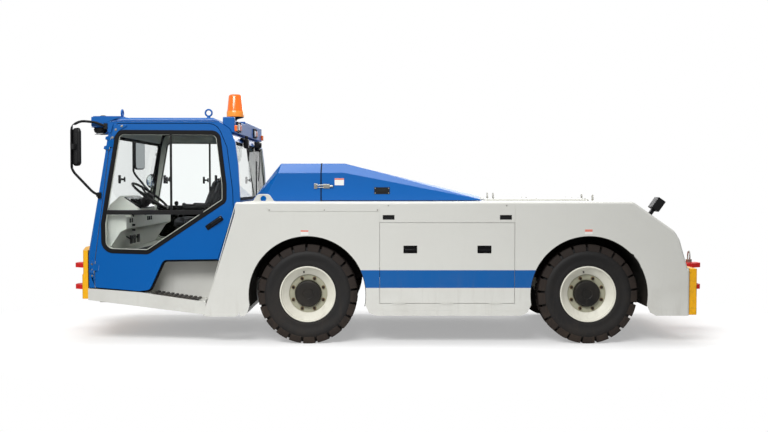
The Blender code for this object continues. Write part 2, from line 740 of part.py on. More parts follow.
def hoods():
    inner_end = HOOD_SEAM_X + 0.5
    front = hull(hood_shell(HOOD_FRONT_X, HOOD_SEAM_X - RUN / 2, 0.0, DECK_Z + GAP))
    front = cut(front, hull(hood_shell(HOOD_FRONT_X, inner_end, HOOD_T, DECK_Z - 0.05)))
    name_part(front, "hood_front", "blue_paint")
    rear = hull(hood_shell(HOOD_SEAM_X + RUN / 2, HOOD_REAR_X, 0.0, DECK_Z + RUN))
    rear = cut(rear, hull(hood_shell(HOOD_SEAM_X - 0.5, HOOD_REAR_X - 0.05, HOOD_T, DECK_Z - 0.05)))
    barrels, ears = hood_hinges()
    remove(ears)
    name_part(join(rear, *barrels), "hood_rear", "blue_paint", HOOD_AXIS)


def heavy_blocks():
    x0, x1, half, top = ENGINE
    name_part(box((x0, -half, CROSS_TOP + GAP), (x1, half, top)), "engine_block", "black_steel")
    inner = RAIL_IN_Y - GAP
    name_part(box((-2.95, -inner, 0.47), (-1.75, inner, 0.88)), "front_ballast", "black_steel")
    name_part(box((2.46, -inner, CROSS_TOP + GAP), (3.0, inner, 1.04)), "rear_ballast", "black_steel")


# ---- cab ----------------------------------------------------------------------
def cab_frame():
    """Blue cab: sides with their door openings, front and rear panels, headers."""
    side = plate([CAB_SIDE], "XZ", -CAB_HALF, -CAB_IN)
    opening = plate([grown(DOOR_LINE, RUN)], "XZ", -CAB_HALF - 0.05, -CAB_IN + 0.05)
    side = cut(side, opening)
    barrels, ears = cab_hinges()[:2]
    remove(barrels)
    left = join(side, *ears)
    right = mirrored(left)
    half = CAB_IN + LAP
    skin = 0.001
    low_front = [(cab_front(z, skin), z) for z in (CAB_BOTTOM + skin, CAB_KNEE_Z, SCREEN_BOTTOM)]
    low_front += [(cab_front(z, skin + PANEL_T), z)
                  for z in (SCREEN_BOTTOM, CAB_KNEE_Z, CAB_BOTTOM + skin)]
    top = CAB_TOP - skin
    front_header = [(cab_front(SCREEN_TOP, skin), SCREEN_TOP), (cab_front(top, skin), top),
                    (cab_front(top, 0.10), top), (cab_front(top, 0.10), top - 0.015),
                    (cab_front(top, 0.03), top - 0.02), (cab_front(SCREEN_TOP, 0.03), SCREEN_TOP)]
    rear_x = CAB_REAR[-1][0] - skin
    rear_foot = FLOOR_TOP - FLOOR_T
    low_rear = [(rear_x, rear_foot), (rear_x, REAR_GLASS_BOTTOM),
                (rear_x - PANEL_T, REAR_GLASS_BOTTOM), (rear_x - PANEL_T, rear_foot)]
    rear_header = [(CAB_REAR[2][0] - skin, REAR_GLASS_TOP), (CAB_REAR[1][0] - skin, CAB_REAR[1][1] - skin),
                   (CAB_REAR[0][0] - skin, top), (CAB_REAR[0][0] - 0.09, top),
                   (CAB_REAR[0][0] - 0.09, top - 0.018), (CAB_REAR[0][0] + 0.02, top - 0.03),
                   (CAB_REAR[1][0] - 0.03, CAB_REAR[1][1] - 0.03), (CAB_REAR[2][0] - 0.03, REAR_GLASS_TOP)]
    panels = [plate([line], "XZ", -half, half)
              for line in (low_front, front_header, low_rear, rear_header)]
    return name_part(join(left, right, *panels), "cab_frame", "blue_paint")


def cab_roof():
    front = cab_front(CAB_TOP) + 0.002
    rear = CAB_REAR[0][0] - 0.002
    outline = [(front, CAB_TOP + GAP), (front + 0.012, CAB_TOP + ROOF_T),
               (rear - 0.05, CAB_TOP + ROOF_T), (rear, CAB_TOP + GAP)]
    roof = plate([outline], "XZ", -CAB_HALF + 0.004, CAB_HALF - 0.004)
    return name_part(roof, "cab_roof", "blue_paint")


def screens():
    """Flat windscreen and rear window between the cab's sides."""
    half = CAB_IN - GAP
    low, high = SCREEN_BOTTOM + GAP, SCREEN_TOP - GAP
    outline = [(cab_front(low, 0.006), low), (cab_front(high, 0.006), high),
               (cab_front(high, 0.006 + GLASS_T), high), (cab_front(low, 0.006 + GLASS_T), low)]
    name_part(plate([outline], "XZ", -half, half), "windscreen", "glass")
    low, high = REAR_GLASS_BOTTOM + GAP, REAR_GLASS_TOP - GAP
    x_low, x_high = CAB_REAR[-1][0] - 0.008, CAB_REAR[2][0] - 0.010
    outline = [(x_low, low), (x_high, high), (x_high - GLASS_T, high), (x_low - GLASS_T, low)]
    name_part(plate([outline], "XZ", -half, half), "rear_window", "glass")


def cab_hinges():
    """Tilted hinge line of the left door: barrels with the door, ears with the frame."""
    foot, head = Vector((*DOOR[1][:2],)), Vector((*DOOR[2][:2],))
    lean = (head - foot).normalized()
    along = (lean.x, 0.0, lean.y)
    on_door, on_frame = [], []
    for share in (-0.04, 0.97):
        place = foot.lerp(head, share)
        centre = (place.x - RUN / 2, -CAB_HALF - HINGE_OUT, place.y)
        back = (0.045 * along[2], HINGE_OUT + 0.001, -0.045 * along[0])
        forward = (-0.038 * along[2], HINGE_OUT + 0.001, 0.038 * along[0])
        moving, fixed = hinge_pair(centre, along, back, forward, 0.011, 0.035, 0.03)
        on_door += moving
        on_frame += fixed
    return on_door, on_frame, (foot.x - RUN / 2, -CAB_HALF - HINGE_OUT, foot.y)


def doors():
    panel = plate([DOOR_LINE, WINDOW_LINE], "XZ", -CAB_HALF, -CAB_IN)
    barrels, ears, pivot = cab_hinges()
    remove(ears)
    left = join(panel, *barrels)
    middle = -CAB_HALF + CAB_SKIN / 2
    glass = plate([grown(WINDOW_LINE, -GLASS_GAP)], "XZ", middle - 0.003, middle + 0.003)
    right, right_glass = mirrored(left), mirrored(glass)
    other = (pivot[0], -pivot[1], pivot[2])
    name_part(left, "door_left", "blue_paint", pivot)
    name_part(glass, "door_left_glass", "glass", pivot)
    name_part(right, "door_right", "blue_paint", other)
    name_part(right_glass, "door_right_glass", "glass", other)


def cab_base():
    """White base: cab floor, sills, the step wells and their sloping treads."""
    inner = CAB_IN - 0.008
    floor = box((CAB_FRONT_X + PANEL_T + 0.002, -inner, FLOOR_TOP - FLOOR_T),
                (CAB_REAR[-1][0] - PANEL_T - 0.0015, inner, FLOOR_TOP))
    shapes = []
    for side in (-1, 1):
        low, high = sorted((side * SILL_HALF_IN, side * CAB_HALF))
        shapes.append(plate([SILL], "XZ", low, high))
        low, high = sorted((side * (SILL_HALF_IN - 0.02), side * (SILL_HALF_IN + 0.01)))
        shapes.append(box((-3.08, low, 0.40), (-1.80, high, FLOOR_TOP - FLOOR_T / 2)))
        low, high = sorted((side * SILL_HALF_IN, side * (inner - 0.004)))
        shapes.append(box((-2.62, low, 0.48), (-2.60, high, FLOOR_TOP - FLOOR_T / 2)))
        low, high = sorted((side * SILL_HALF_IN, side * (CAB_HALF - 0.012)))
        shapes.append(box((-1.93, low, 0.36), (-1.91, high, CAB_REAR_BOTTOM - 0.03)))
        shapes.append(box((-1.95, min(low, high), 0.83),
                          (-1.60, max(low, high), CAB_REAR_BOTTOM - 0.03)))
        shapes.append(box((-1.82, side * 0.87 - 0.02, 0.82),
                          (-1.60, side * 0.87 + 0.02, FLOOR_TOP - FLOOR_T / 2)))
    return name_part(join(floor, *shapes), "cab_base", "white_paint")


# ---- driving place ------------------------------------------------------------
def driving_place():
    half = CAB_IN - 0.04
    dash = [(cab_front(z, 0.035), z) for z in (FLOOR_TOP + GAP, DASH_TOP)]
    dash += [(DASH_REAR_X, DASH_TOP, 0.02), (DASH_REAR_X, 1.19, 0.01), (DASH_REAR_X - 0.06, 1.16),
             (DASH_REAR_X - 0.20, FLOOR_TOP + GAP)]
    name_part(plate([rounded(dash)], "XZ", -half, half), "dashboard", "grey_plastic")
    normal = Vector((math.sin(WHEEL_TILT), 0.0, math.cos(WHEEL_TILT)))
    hub = Vector(WHEEL_HUB)
    drop = (hub.z - DASH_TOP - 0.006) / normal.z
    foot = hub - normal * drop
    column = cylinder(foot, hub - normal * 0.03, 0.032)
    base = box((foot.x - 0.05, DRIVER_Y - 0.05, DASH_TOP + GAP),
               (foot.x + 0.05, DRIVER_Y + 0.05, DASH_TOP + 0.014))
    base = cut(join(column, base), box((foot.x - 0.2, DRIVER_Y - 0.2, DASH_TOP - 0.1),
                                       (foot.x + 0.2, DRIVER_Y + 0.2, DASH_TOP + GAP)))
    name_part(base, "steering_column", "black_plastic")
    ring = arc(STEER_RING_R, 0.0, STEER_TUBE_R, 0, 315, 7)
    wheel_ring = turned(ring, hub, normal, 24)
    boss = cylinder(hub - normal * (0.03 - GAP), hub + normal * 0.012, 0.045)
    across = Vector((0.0, 1.0, 0.0))
    spokes = []
    for angle in (90, 210, 330):
        reach = Matrix.Rotation(math.radians(angle), 3, normal) @ across * STEER_RING_R
        spokes.append(tube([hub - normal * 0.01, hub + reach], 0.009))
    name_part(join(wheel_ring, boss, *spokes), "steering_wheel", "black_plastic", hub)
    x0, x1 = SEAT_X
    near, far = DRIVER_Y - SEAT_HALF, DRIVER_Y + SEAT_HALF
    name_part(box((x0 + 0.06, near + 0.05, FLOOR_TOP + GAP), (x1 + 0.02, far - 0.05, SEAT_BASE_TOP)),
              "seat_base", "black_plastic")
    cushion = rounded([(x0, SEAT_BASE_TOP + GAP, 0.03), (x1, SEAT_BASE_TOP + GAP, 0.03), (x1, CUSHION_TOP, 0.03),
                       (x0, CUSHION_TOP, 0.05)], 3)
    name_part(plate([cushion], "XZ", near, far), "seat_cushion", "seat_fabric")
    back = rounded([(x1 - 0.16, CUSHION_TOP + GAP, 0.02), (x1 - 0.02, CUSHION_TOP + GAP, 0.02),
                    (x1 + 0.12, BACK_TOP, 0.04), (x1 + 0.02, BACK_TOP, 0.04)], 3)
    name_part(plate([back], "XZ", near + 0.01, far - 0.01), "seat_back", "seat_fabric")


# ---- what is fixed outside ----------------------------------------------------
def mirrors():
    """Left mirror on its bent arm, and its copy on the right."""
    y = -CAB_HALF - 0.045
    points = [(-2.935, -CAB_HALF - GAP - 0.014, 2.262), (-3.02, y, 2.300), (-3.170, y - 0.03, 2.312),
              (-3.256, y - 0.04, 2.258), (-3.258, y - 0.04, 1.826), (-3.233, y - 0.04, 1.779),
              (-3.052, y, 1.575), (-2.995, -CAB_HALF - GAP - 0.014, 1.547)]
    arm = tube(bent(points, 0.05), 0.014)
    feet = [box((x - 0.02, -CAB_HALF - 0.022, z - 0.03), (x + 0.018, -CAB_HALF - GAP, z + 0.03))
            for x, z in ((-2.925, 2.262), (-2.997, 1.547))]
    head = rounded([(-3.232, 1.845, 0.03), (-3.160, 1.845, 0.02),
                    (-3.160, 2.240, 0.02), (-3.232, 2.240, 0.03)], 3)
    head = plate([head], "XZ", y - 0.165, y + 0.025)
    stay = box((-3.265, y - 0.06, 2.03), (-3.20, y - 0.02, 2.09))
    left = join(arm, head, stay, *feet)
    right = mirrored(left)
    name_part(left, "mirror_left", "black_plastic")
    name_part(right, "mirror_right", "black_plastic")


def roof_front_carrier():
    """Bolted plates at the top front corners of the cab, the lamp bar between them."""
    shapes = []
    for side in (-1, 1):
        low, high = sorted((side * (CAB_HALF + GAP), side * (CAB_HALF + 0.012)))
        line = [(-3.075, 2.27), (-3.055, 2.366), (-2.76, 2.366),
                (-2.80, 2.345), (-2.87, 2.32), (-2.90, 2.305)]
        shapes.append(plate([line], "XZ", low, high))
    bar = box((-3.065, -CAB_HALF - 0.006, 2.285), (-3.015, CAB_HALF + 0.006, 2.355))
    for y in (-0.85, 0.85):
        shapes.append(box((-3.08, y - 0.09, 2.19), (-3.00, y + 0.09, 2.29)))
    return name_part(join(bar, *shapes), "roof_front_carrier", "blue_paint")


def rear_lamp_carrier():
    seat = [Vector(CAB_REAR[0]).lerp(Vector(CAB_REAR[1]), 0.4), Vector(CAB_REAR[1]),
            Vector(CAB_REAR[1]).lerp(Vector(CAB_REAR[2]), 0.3)]
    seat = [(spot.x + GAP, spot.y + GAP) for spot in seat]
    outline = [(seat[0][0], 2.36), *seat, (-1.597, seat[2][1]), (-1.597, 2.36)]
    body = plate([outline], "XZ", -1.10, 1.10)
    body = cut(body, box((-1.9, -1.04, 2.33), (-1.5, -0.33, 2.5)))
    return name_part(body, "rear_lamp_carrier", "blue_paint")


def beacon():
    profile = [(0.0, 0.297), (0.055, 0.290), (0.0765, 0.265), (0.093, 0.053), (0.093, 0.050),
               (0.050, 0.048), (0.036, 0.0), (0.0, 0.0)]
    return name_part(turned(profile, (-1.65, -0.70, 2.33 + GAP), (0, 0, 1), 32), "beacon", "amber")


def rear_work_lamp():
    """Lamp on a bracket, turned with the sloping tail it stands on."""
    foot = Vector((2.74, -1.0, 0.0))
    (x0, z0), (x1, z1) = TAIL[0], TAIL[1]
    foot.z = z0 + (z1 - z0) * (foot.x - x0) / (x1 - x0)

    def standing(reach_x, reach_y, low, high):
        return box((foot.x - reach_x, foot.y - reach_y, foot.z + low),
                   (foot.x + reach_x, foot.y + reach_y, foot.z + high))

    pad = standing(0.05, 0.06, GAP, 0.012)
    stem = standing(0.02, 0.02, 0.005, 0.10)
    head = standing(0.045, 0.08, 0.08, 0.21)
    lamp = join(pad, stem, head)
    turned_about(lamp, foot, (0, 1, 0), math.atan2(z0 - z1, x1 - x0))
    return name_part(lamp, "rear_work_lamp", "black_plastic")


# ---- bumpers and hitches ------------------------------------------------------
def front_bumper():
    def tier(back, corner, nose, heights):
        half = CAB_HALF - 0.005
        line = [(back, -half), (corner, -half, 0.02), (nose, -BUMPER_NOSE_HALF, 0.05),
                (nose, BUMPER_NOSE_HALF, 0.05), (corner, half, 0.02), (back, half)]
        return plate([rounded(line)], "XY", *heights)

    low = tier(BUMPER_BACK_X, BUMPER_CORNER_X, BUMPER_NOSE_X, BUMPER_LOW)
    high = tier(BUMPER_BACK_X, BUMPER_CORNER_X + 0.01, BUMPER_NOSE_X + 0.01, BUMPER_HIGH)
    return name_part(join(low, high), "front_bumper", "yellow_paint")


def rear_bumper():
    low, high = REAR_PLATE_Z
    slab = box((BODY_REAR_X, -REAR_PLATE_HALF, low),
               (BODY_REAR_X + REAR_PLATE_T, REAR_PLATE_HALF, high))
    return name_part(slab, "rear_bumper", "yellow_paint")


def hitch(end, root_x, name):
    """Two jaw plates on a back plate, and the pin through both.  end is -1 at the front."""
    start = end * (abs(root_x) + GAP)
    jaws = []
    for low, high in (JAW_LOW, JAW_HIGH):
        tip, flat = end * HITCH_TIP_X, end * (HITCH_TIP_X - HITCH_HALF * 0.9)
        line = [(start, -HITCH_HALF), (flat, -HITCH_HALF, 0.05), (tip, -HITCH_HALF * 0.45, 0.04),
                (tip, HITCH_HALF * 0.45, 0.04), (flat, HITCH_HALF, 0.05), (start, HITCH_HALF)]
        hole = arc(end * PIN_X, 0.0, PIN_R + PIN_RUN, 0, 337.5, 15)
        jaws.append(plate([rounded(line), hole], "XY", low, high))
    x0, x1 = sorted((start, start + end * 0.03))
    back = box((x0, -HITCH_HALF - 0.02, JAW_LOW[0] - 0.01), (x1, HITCH_HALF + 0.02, JAW_HIGH[1] + 0.01))
    name_part(join(back, *jaws), name + "_hitch", "red_paint")
    top = JAW_HIGH[1] + GAP
    pin = cylinder((end * PIN_X, 0, JAW_LOW[0] - 0.03), (end * PIN_X, 0, top + 0.02), PIN_R)
    collar = cylinder((end * PIN_X, 0, top), (end * PIN_X, 0, top + 0.038), 0.034)
    loop = [(end * PIN_X, y, top + 0.03 + z) for y, z in
            ((-0.035, 0.0), (-0.042, 0.05), (-0.02, 0.10), (0.02, 0.10), (0.042, 0.05), (0.035, 0.0))]
    handle = tube(bent(loop, 0.03), 0.008)
    foot = box((end * PIN_X - 0.012, -0.045, top + 0.015), (end * PIN_X + 0.012, 0.045, top + 0.036))
    name_part(join(pin, collar, foot, handle), name + "_tow_pin", "steel")


chassis_frame()
front_axle()
rear_axle()
heavy_blocks()
knuckle(-1, "knuckle_left")
knuckle(1, "knuckle_right")
for wheel_x, end_name in ((FRONT_AXLE_X, "front"), (REAR_AXLE_X, "rear")):
    wheel(wheel_x, -1, end_name + "_left")
    wheel(wheel_x, 1, end_name + "_right")
body_sides()
deck()
tail_panel()
rear_hatch()
hoods()
cab_base()
cab_frame()
cab_roof()
screens()
doors()
driving_place()
mirrors()
roof_front_carrier()
rear_lamp_carrier()
beacon()
rear_work_lamp()
front_bumper()
rear_bumper()
hitch(-1, BUMPER_NOSE_X, "front")
hitch(1, BODY_REAR_X + REAR_PLATE_T, "rear")
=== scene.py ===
"""Finish of the aircraft pushback tractor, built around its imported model.

Metres.  The tractor faces -X, its left side is -Y, and the floor is at z = 0.
"""
import json
import math

import bmesh
import bpy
from mathutils import Matrix, Vector


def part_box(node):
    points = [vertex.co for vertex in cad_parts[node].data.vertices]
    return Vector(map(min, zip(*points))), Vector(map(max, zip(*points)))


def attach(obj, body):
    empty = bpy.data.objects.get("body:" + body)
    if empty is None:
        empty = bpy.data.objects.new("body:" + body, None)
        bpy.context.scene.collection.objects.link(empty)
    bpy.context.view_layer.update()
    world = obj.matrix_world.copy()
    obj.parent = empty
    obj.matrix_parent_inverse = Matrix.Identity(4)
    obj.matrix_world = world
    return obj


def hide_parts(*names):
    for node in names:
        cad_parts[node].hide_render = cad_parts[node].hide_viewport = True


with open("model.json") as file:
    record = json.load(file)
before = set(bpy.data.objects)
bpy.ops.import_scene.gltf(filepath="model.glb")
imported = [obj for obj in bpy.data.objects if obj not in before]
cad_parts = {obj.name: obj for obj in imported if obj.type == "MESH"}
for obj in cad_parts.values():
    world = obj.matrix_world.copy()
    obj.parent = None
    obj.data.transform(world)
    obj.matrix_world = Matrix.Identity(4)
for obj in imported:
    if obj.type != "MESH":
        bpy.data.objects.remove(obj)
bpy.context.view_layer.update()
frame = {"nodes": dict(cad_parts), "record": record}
BODY_OF = {node: body for body, nodes in frame["record"]["behaviour"]["bodies"].items() for node in nodes}
SLOT_OF = {row["node"]: row["material_slot"] for row in frame["record"]["subparts"]}


def low(node):
    return Vector(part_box(node)[0])


def high(node):
    return Vector(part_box(node)[1])


def middle(node):
    return (low(node) + high(node)) / 2


# ---- working with operators ----------------------------------------------------
def alone(piece):
    """Select this piece only, and make it the active one."""
    if bpy.context.object and bpy.context.object.mode != "OBJECT":
        bpy.ops.object.mode_set(mode="OBJECT")
    bpy.ops.object.select_all(action="DESELECT")
    piece.select_set(True)
    bpy.context.view_layer.objects.active = piece


def apply_all(piece):
    """Apply the piece's modifiers in turn."""
    alone(piece)
    for step in list(piece.modifiers):
        bpy.ops.object.modifier_apply(modifier=step.name)


def clean(piece, merge_by=0.0, flat=0.0, outward=False):
    """Merge close points, dissolve edges on flat faces and turn faces outwards, as asked."""
    alone(piece)
    bpy.ops.object.mode_set(mode="EDIT")
    bpy.ops.mesh.select_all(action="SELECT")
    if merge_by:
        bpy.ops.mesh.remove_doubles(threshold=merge_by)
    if flat:
        bpy.ops.mesh.dissolve_limited(angle_limit=math.radians(flat))
    if outward:
        bpy.ops.mesh.normals_make_consistent(inside=False)
    bpy.ops.object.mode_set(mode="OBJECT")


def settle(piece):
    """Put the piece's place into its mesh."""
    alone(piece)
    bpy.ops.object.transform_apply(location=True, rotation=True, scale=True)


def even_shading(piece, angle=35):
    """Smooth shading that keeps flat faces flat beside rounded edges."""
    alone(piece)
    bpy.ops.object.shade_smooth_by_angle(angle=math.radians(angle))
    level = piece.modifiers.new("even", "WEIGHTED_NORMAL")
    level.keep_sharp = True
    level.weight = 100
    bpy.ops.object.modifier_apply(modifier=level.name)


def round_edges(piece, width=0.004, segments=2, angle=35):
    """Round the edges that turn by more than the angle, and shade the piece smooth."""
    bevel = piece.modifiers.new("round", "BEVEL")
    bevel.width = width
    bevel.segments = segments
    bevel.limit_method = "ANGLE"
    bevel.angle_limit = math.radians(angle)
    apply_all(piece)
    even_shading(piece, max(angle, 38))


def block(name, corner, far_corner, width=0.003, segments=2):
    """Block between two corners with rounded edges."""
    corner, far_corner = Vector(corner), Vector(far_corner)
    bpy.ops.mesh.primitive_cube_add(size=1.0, location=(corner + far_corner) / 2)
    piece = bpy.context.object
    piece.name = name
    piece.scale = [abs(value) for value in (far_corner - corner)]
    settle(piece)
    if width > 0:
        round_edges(piece, width, segments)
    return piece


def rod(name, start, end, radius, sides=24, width=0.0015, end_radius=None):
    """Round bar, or a cone, between two points, with rounded ends."""
    start, end = Vector(start), Vector(end)
    bpy.ops.mesh.primitive_cone_add(
        vertices=sides, radius1=radius, radius2=radius if end_radius is None else end_radius,
        depth=(end - start).length, location=(start + end) / 2,
        rotation=(end - start).to_track_quat("Z", "Y").to_euler())
    piece = bpy.context.object
    piece.name = name
    settle(piece)
    round_edges(piece, width, 2, 50)
    return piece


def smooth_path(points, radius, steps=5):
    """Points with their corners rounded."""
    path = [Vector(points[0])]
    for before, here, after in zip(points, points[1:], points[2:]):
        here = Vector(here)
        back, ahead = Vector(before) - here, Vector(after) - here
        reach = min(radius, back.length * 0.45, ahead.length * 0.45)
        start, end = here + back.normalized() * reach, here + ahead.normalized() * reach
        for step in range(steps + 1):
            share = step / steps
            path.append(start.lerp(here, share).lerp(here.lerp(end, share), share))
    path.append(Vector(points[-1]))
    return path


def pipe(name, points, radius, bend=0.0, closed=False, sides=2):
    """Round bar bent along the points, as a mesh."""
    path = smooth_path(points, bend) if bend else [Vector(point) for point in points]
    curve = bpy.data.curves.new(name, "CURVE")
    curve.dimensions = "3D"
    curve.bevel_depth = radius
    curve.bevel_resolution = sides
    curve.use_fill_caps = True
    spline = curve.splines.new("POLY")
    spline.points.add(len(path) - 1)
    for point, place in zip(spline.points, path):
        point.co = (*place, 1.0)
    spline.use_cyclic_u = closed
    return curve_to_mesh(name, curve)


def curve_to_mesh(name, curve, place=None):
    piece = bpy.data.objects.new(name, curve)
    bpy.context.scene.collection.objects.link(piece)
    if place is not None:
        piece.matrix_world = place
    alone(piece)
    bpy.ops.object.convert(target="MESH")
    piece = bpy.context.object
    settle(piece)
    clean(piece, merge_by=0.00003, outward=True)
    bpy.ops.object.shade_smooth_by_angle(angle=math.radians(40))
    piece.name = name
    return piece


def arc_points(centre, radius, start, end, steps):
    """Points x, z of an arc between two angles in degrees."""
    return [(centre[0] + radius * math.cos(math.radians(start + (end - start) * step / steps)),
             centre[1] + radius * math.sin(math.radians(start + (end - start) * step / steps)))
            for step in range(steps + 1)]


def soft_corners(corners, steps=8):
    """Outline from corners x, z, radius, each radius drawn as an arc."""
    outline = []
    for index, corner in enumerate(corners):
        here, radius = Vector(corner[:2]), (corner[2] if len(corner) > 2 else 0.0)
        before = (Vector(corners[index - 1][:2]) - here).normalized()
        after = (Vector(corners[(index + 1) % len(corners)][:2]) - here).normalized()
        half = before.angle(after) / 2
        if radius <= 0 or half > math.radians(88):
            outline.append(tuple(here))
            continue
        centre = here + (before + after).normalized() * radius / math.sin(half)
        first = here + before * radius / math.tan(half) - centre
        last = here + after * radius / math.tan(half) - centre
        swing = first.angle_signed(last)
        for step in range(steps + 1):
            outline.append(tuple(centre + Matrix.Rotation(-swing * step / steps, 2) @ first))
    return outline


def moved_out(outline, by):
    """The outline moved outwards by a distance."""
    count = len(outline)
    area = sum(outline[i][0] * outline[(i + 1) % count][1] - outline[(i + 1) % count][0] * outline[i][1]
               for i in range(count))
    side = 1.0 if area > 0 else -1.0
    result = []
    for i in range(count):
        here = Vector(outline[i])
        before = (here - Vector(outline[i - 1])).normalized()
        after = (Vector(outline[(i + 1) % count]) - here).normalized()
        out_a, out_b = Vector((before.y, -before.x)) * side, Vector((after.y, -after.x)) * side
        both = (out_a + out_b).normalized()
        result.append(tuple(here + both * by / max(both.dot(out_a), 0.3)))
    return result


PLANES = {
    "XZ": Matrix(((1, 0, 0, 0), (0, 0, -1, 0), (0, 1, 0, 0), (0, 0, 0, 1))),
    "XY": Matrix.Identity(4),
    "YZ": Matrix(((0, 0, 1, 0), (1, 0, 0, 0), (0, 1, 0, 0), (0, 0, 0, 1))),
}
ACROSS = {"XZ": Vector((0, 1, 0)), "XY": Vector((0, 0, 1)), "YZ": Vector((1, 0, 0))}


def sheet_metal(name, outlines, plane, start, end, width=0.002, segments=2):
    """Flat outlines, the later ones holes, made as thick as start to end across their plane."""
    curve = bpy.data.curves.new(name, "CURVE")
    curve.dimensions = "2D"
    curve.fill_mode = "BOTH"
    curve.extrude = abs(end - start) / 2
    for outline in outlines:
        spline = curve.splines.new("POLY")
        spline.points.add(len(outline) - 1)
        for point, place in zip(spline.points, outline):
            point.co = (place[0], place[1], 0.0, 1.0)
        spline.use_cyclic_u = True
    piece = curve_to_mesh(name, curve,
                          Matrix.Translation(ACROSS[plane] * (start + end) / 2) @ PLANES[plane])
    clean(piece, flat=0.5)
    if width > 0:
        round_edges(piece, width, segments, 40)
    return piece


def lathe(name, profile, place, axis, steps=64, width=0.0):
    """Profile of radius and height turned about the axis through the place."""
    mesh = bpy.data.meshes.new(name)
    edges = [(index, index + 1) for index in range(len(profile) - 1)]
    if profile[0][0] > 0 and profile[-1][0] > 0:
        edges.append((len(profile) - 1, 0))
    mesh.from_pydata([(radius, 0.0, height) for radius, height in profile], edges, [])
    piece = bpy.data.objects.new(name, mesh)
    bpy.context.scene.collection.objects.link(piece)
    screw = piece.modifiers.new("turn", "SCREW")
    screw.steps = screw.render_steps = steps
    screw.use_merge_vertices = True
    screw.merge_threshold = 0.00005
    turn = Vector(axis).to_track_quat("Z", "Y").to_matrix().to_4x4()
    piece.matrix_world = Matrix.Translation(place) @ turn
    apply_all(piece)
    settle(piece)
    clean(piece, merge_by=0.00005, outward=True)
    if width > 0:
        round_edges(piece, width, 2, 35)
    else:
        bpy.ops.object.shade_smooth_by_angle(angle=math.radians(32))
    return piece


def round_section(ring_radius, radius, sides):
    """Profile of a ring of round bar."""
    return [(ring_radius + radius * math.cos(math.tau * k / sides), radius * math.sin(math.tau * k / sides))
            for k in range(sides)]


def merge(name, pieces):
    """Join several pieces into one mesh object."""
    alone(pieces[0])
    for piece in pieces:
        piece.select_set(True)
    bpy.ops.object.join()
    joined = bpy.context.object
    joined.name = name
    return joined


def pick(piece, kind, wanted):
    """Edit mode with only those verts, edges or faces selected that the test wants."""
    alone(piece)
    bpy.ops.object.mode_set(mode="EDIT")
    bpy.ops.mesh.select_mode(type=kind)
    bpy.ops.mesh.select_all(action="DESELECT")
    bpy.ops.object.mode_set(mode="OBJECT")
    mesh = piece.data
    for item in {"VERT": mesh.vertices, "EDGE": mesh.edges, "FACE": mesh.polygons}[kind]:
        item.select = bool(wanted(mesh, item))
    bpy.ops.object.mode_set(mode="EDIT")


def recess(name, corner, far_corner, rim, depth, face, width=0.001):
    """Block whose face that looks along the given direction is sunk inside a rim."""
    piece = block(name, corner, far_corner, 0.0)
    face = Vector(face)
    pick(piece, "FACE", lambda mesh, item: item.normal.dot(face) > 0.9)
    bpy.ops.mesh.inset(thickness=rim)
    bpy.ops.transform.translate(value=-face * depth)
    bpy.ops.object.mode_set(mode="OBJECT")
    round_edges(piece, width, 2)
    return piece


def bolt(name, place, axis, radius=0.009, height=0.006):
    """Hexagon head on a washer."""
    place, axis = Vector(place), Vector(axis).normalized()
    washer = rod(name, place, place + axis * height * 0.35, radius * 1.45, 16, 0.0005)
    head = rod(name, place + axis * height * 0.2, place + axis * height, radius, 6, 0.0007)
    return merge(name, [washer, head])


def cut_out(piece, cutter):
    """Cut one shape from another, and take the cutter away."""
    step = piece.modifiers.new("cut", "BOOLEAN")
    step.operation = "DIFFERENCE"
    step.object = cutter
    apply_all(piece)
    bpy.data.objects.remove(cutter, do_unlink=True)
    return piece


def copy_of(piece, name, change=None):
    """Copy with its own mesh, moved by a matrix; a mirroring matrix turns its faces back out."""
    other = piece.copy()
    other.data = piece.data.copy()
    other.name = name
    bpy.context.scene.collection.objects.link(other)
    if change is not None:
        other.data.transform(change)
        if change.determinant() < 0:
            other.data.flip_normals()
    return other


ACROSS_CENTRE = Matrix.Scale(-1.0, 4, (0, 1, 0))


def place_piece(piece, finish, body="chassis", replaced=()):
    """Give the piece its finish, its body, and the nodes that it stands for."""
    piece.data.materials.clear()
    piece.data.materials.append(finish)
    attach(piece, body)
    if replaced:
        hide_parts(*replaced)
    DONE.update(replaced)
    return piece


def refined(node, finish, width=0.004, segments=3, angle=30, name=None):
    """Copy of a node's solid with merged faces and rounded edges, shown in its stead."""
    piece = copy_of(frame["nodes"][node], name or node + "_shell")
    piece.parent = None
    clean(piece, merge_by=0.00002, flat=0.4)
    if width > 0:
        round_edges(piece, width, segments, angle)
    else:
        bpy.ops.object.shade_smooth_by_angle(angle=math.radians(angle))
    return place_piece(piece, finish, BODY_OF[node], (node,))


# ---- finishes ------------------------------------------------------------------
def group(name, inputs, outputs):
    """Empty shader node group with its sockets: rows of name and socket type."""
    tree = bpy.data.node_groups.new(name, "ShaderNodeTree")
    for title, kind in inputs:
        tree.interface.new_socket(name=title, in_out="INPUT", socket_type=kind)
    for title, kind in outputs:
        tree.interface.new_socket(name=title, in_out="OUTPUT", socket_type=kind)
    tree.nodes.new("NodeGroupInput").name = "in"
    tree.nodes.new("NodeGroupOutput").name = "out"
    return tree


def noise(tree, vector, scale, detail=4.0, roughness=0.55):
    node = tree.nodes.new("ShaderNodeTexNoise")
    node.inputs["Scale"].default_value = scale
    node.inputs["Detail"].default_value = detail
    node.inputs["Roughness"].default_value = roughness
    tree.links.new(vector, node.inputs["Vector"])
    return node.outputs["Fac"]


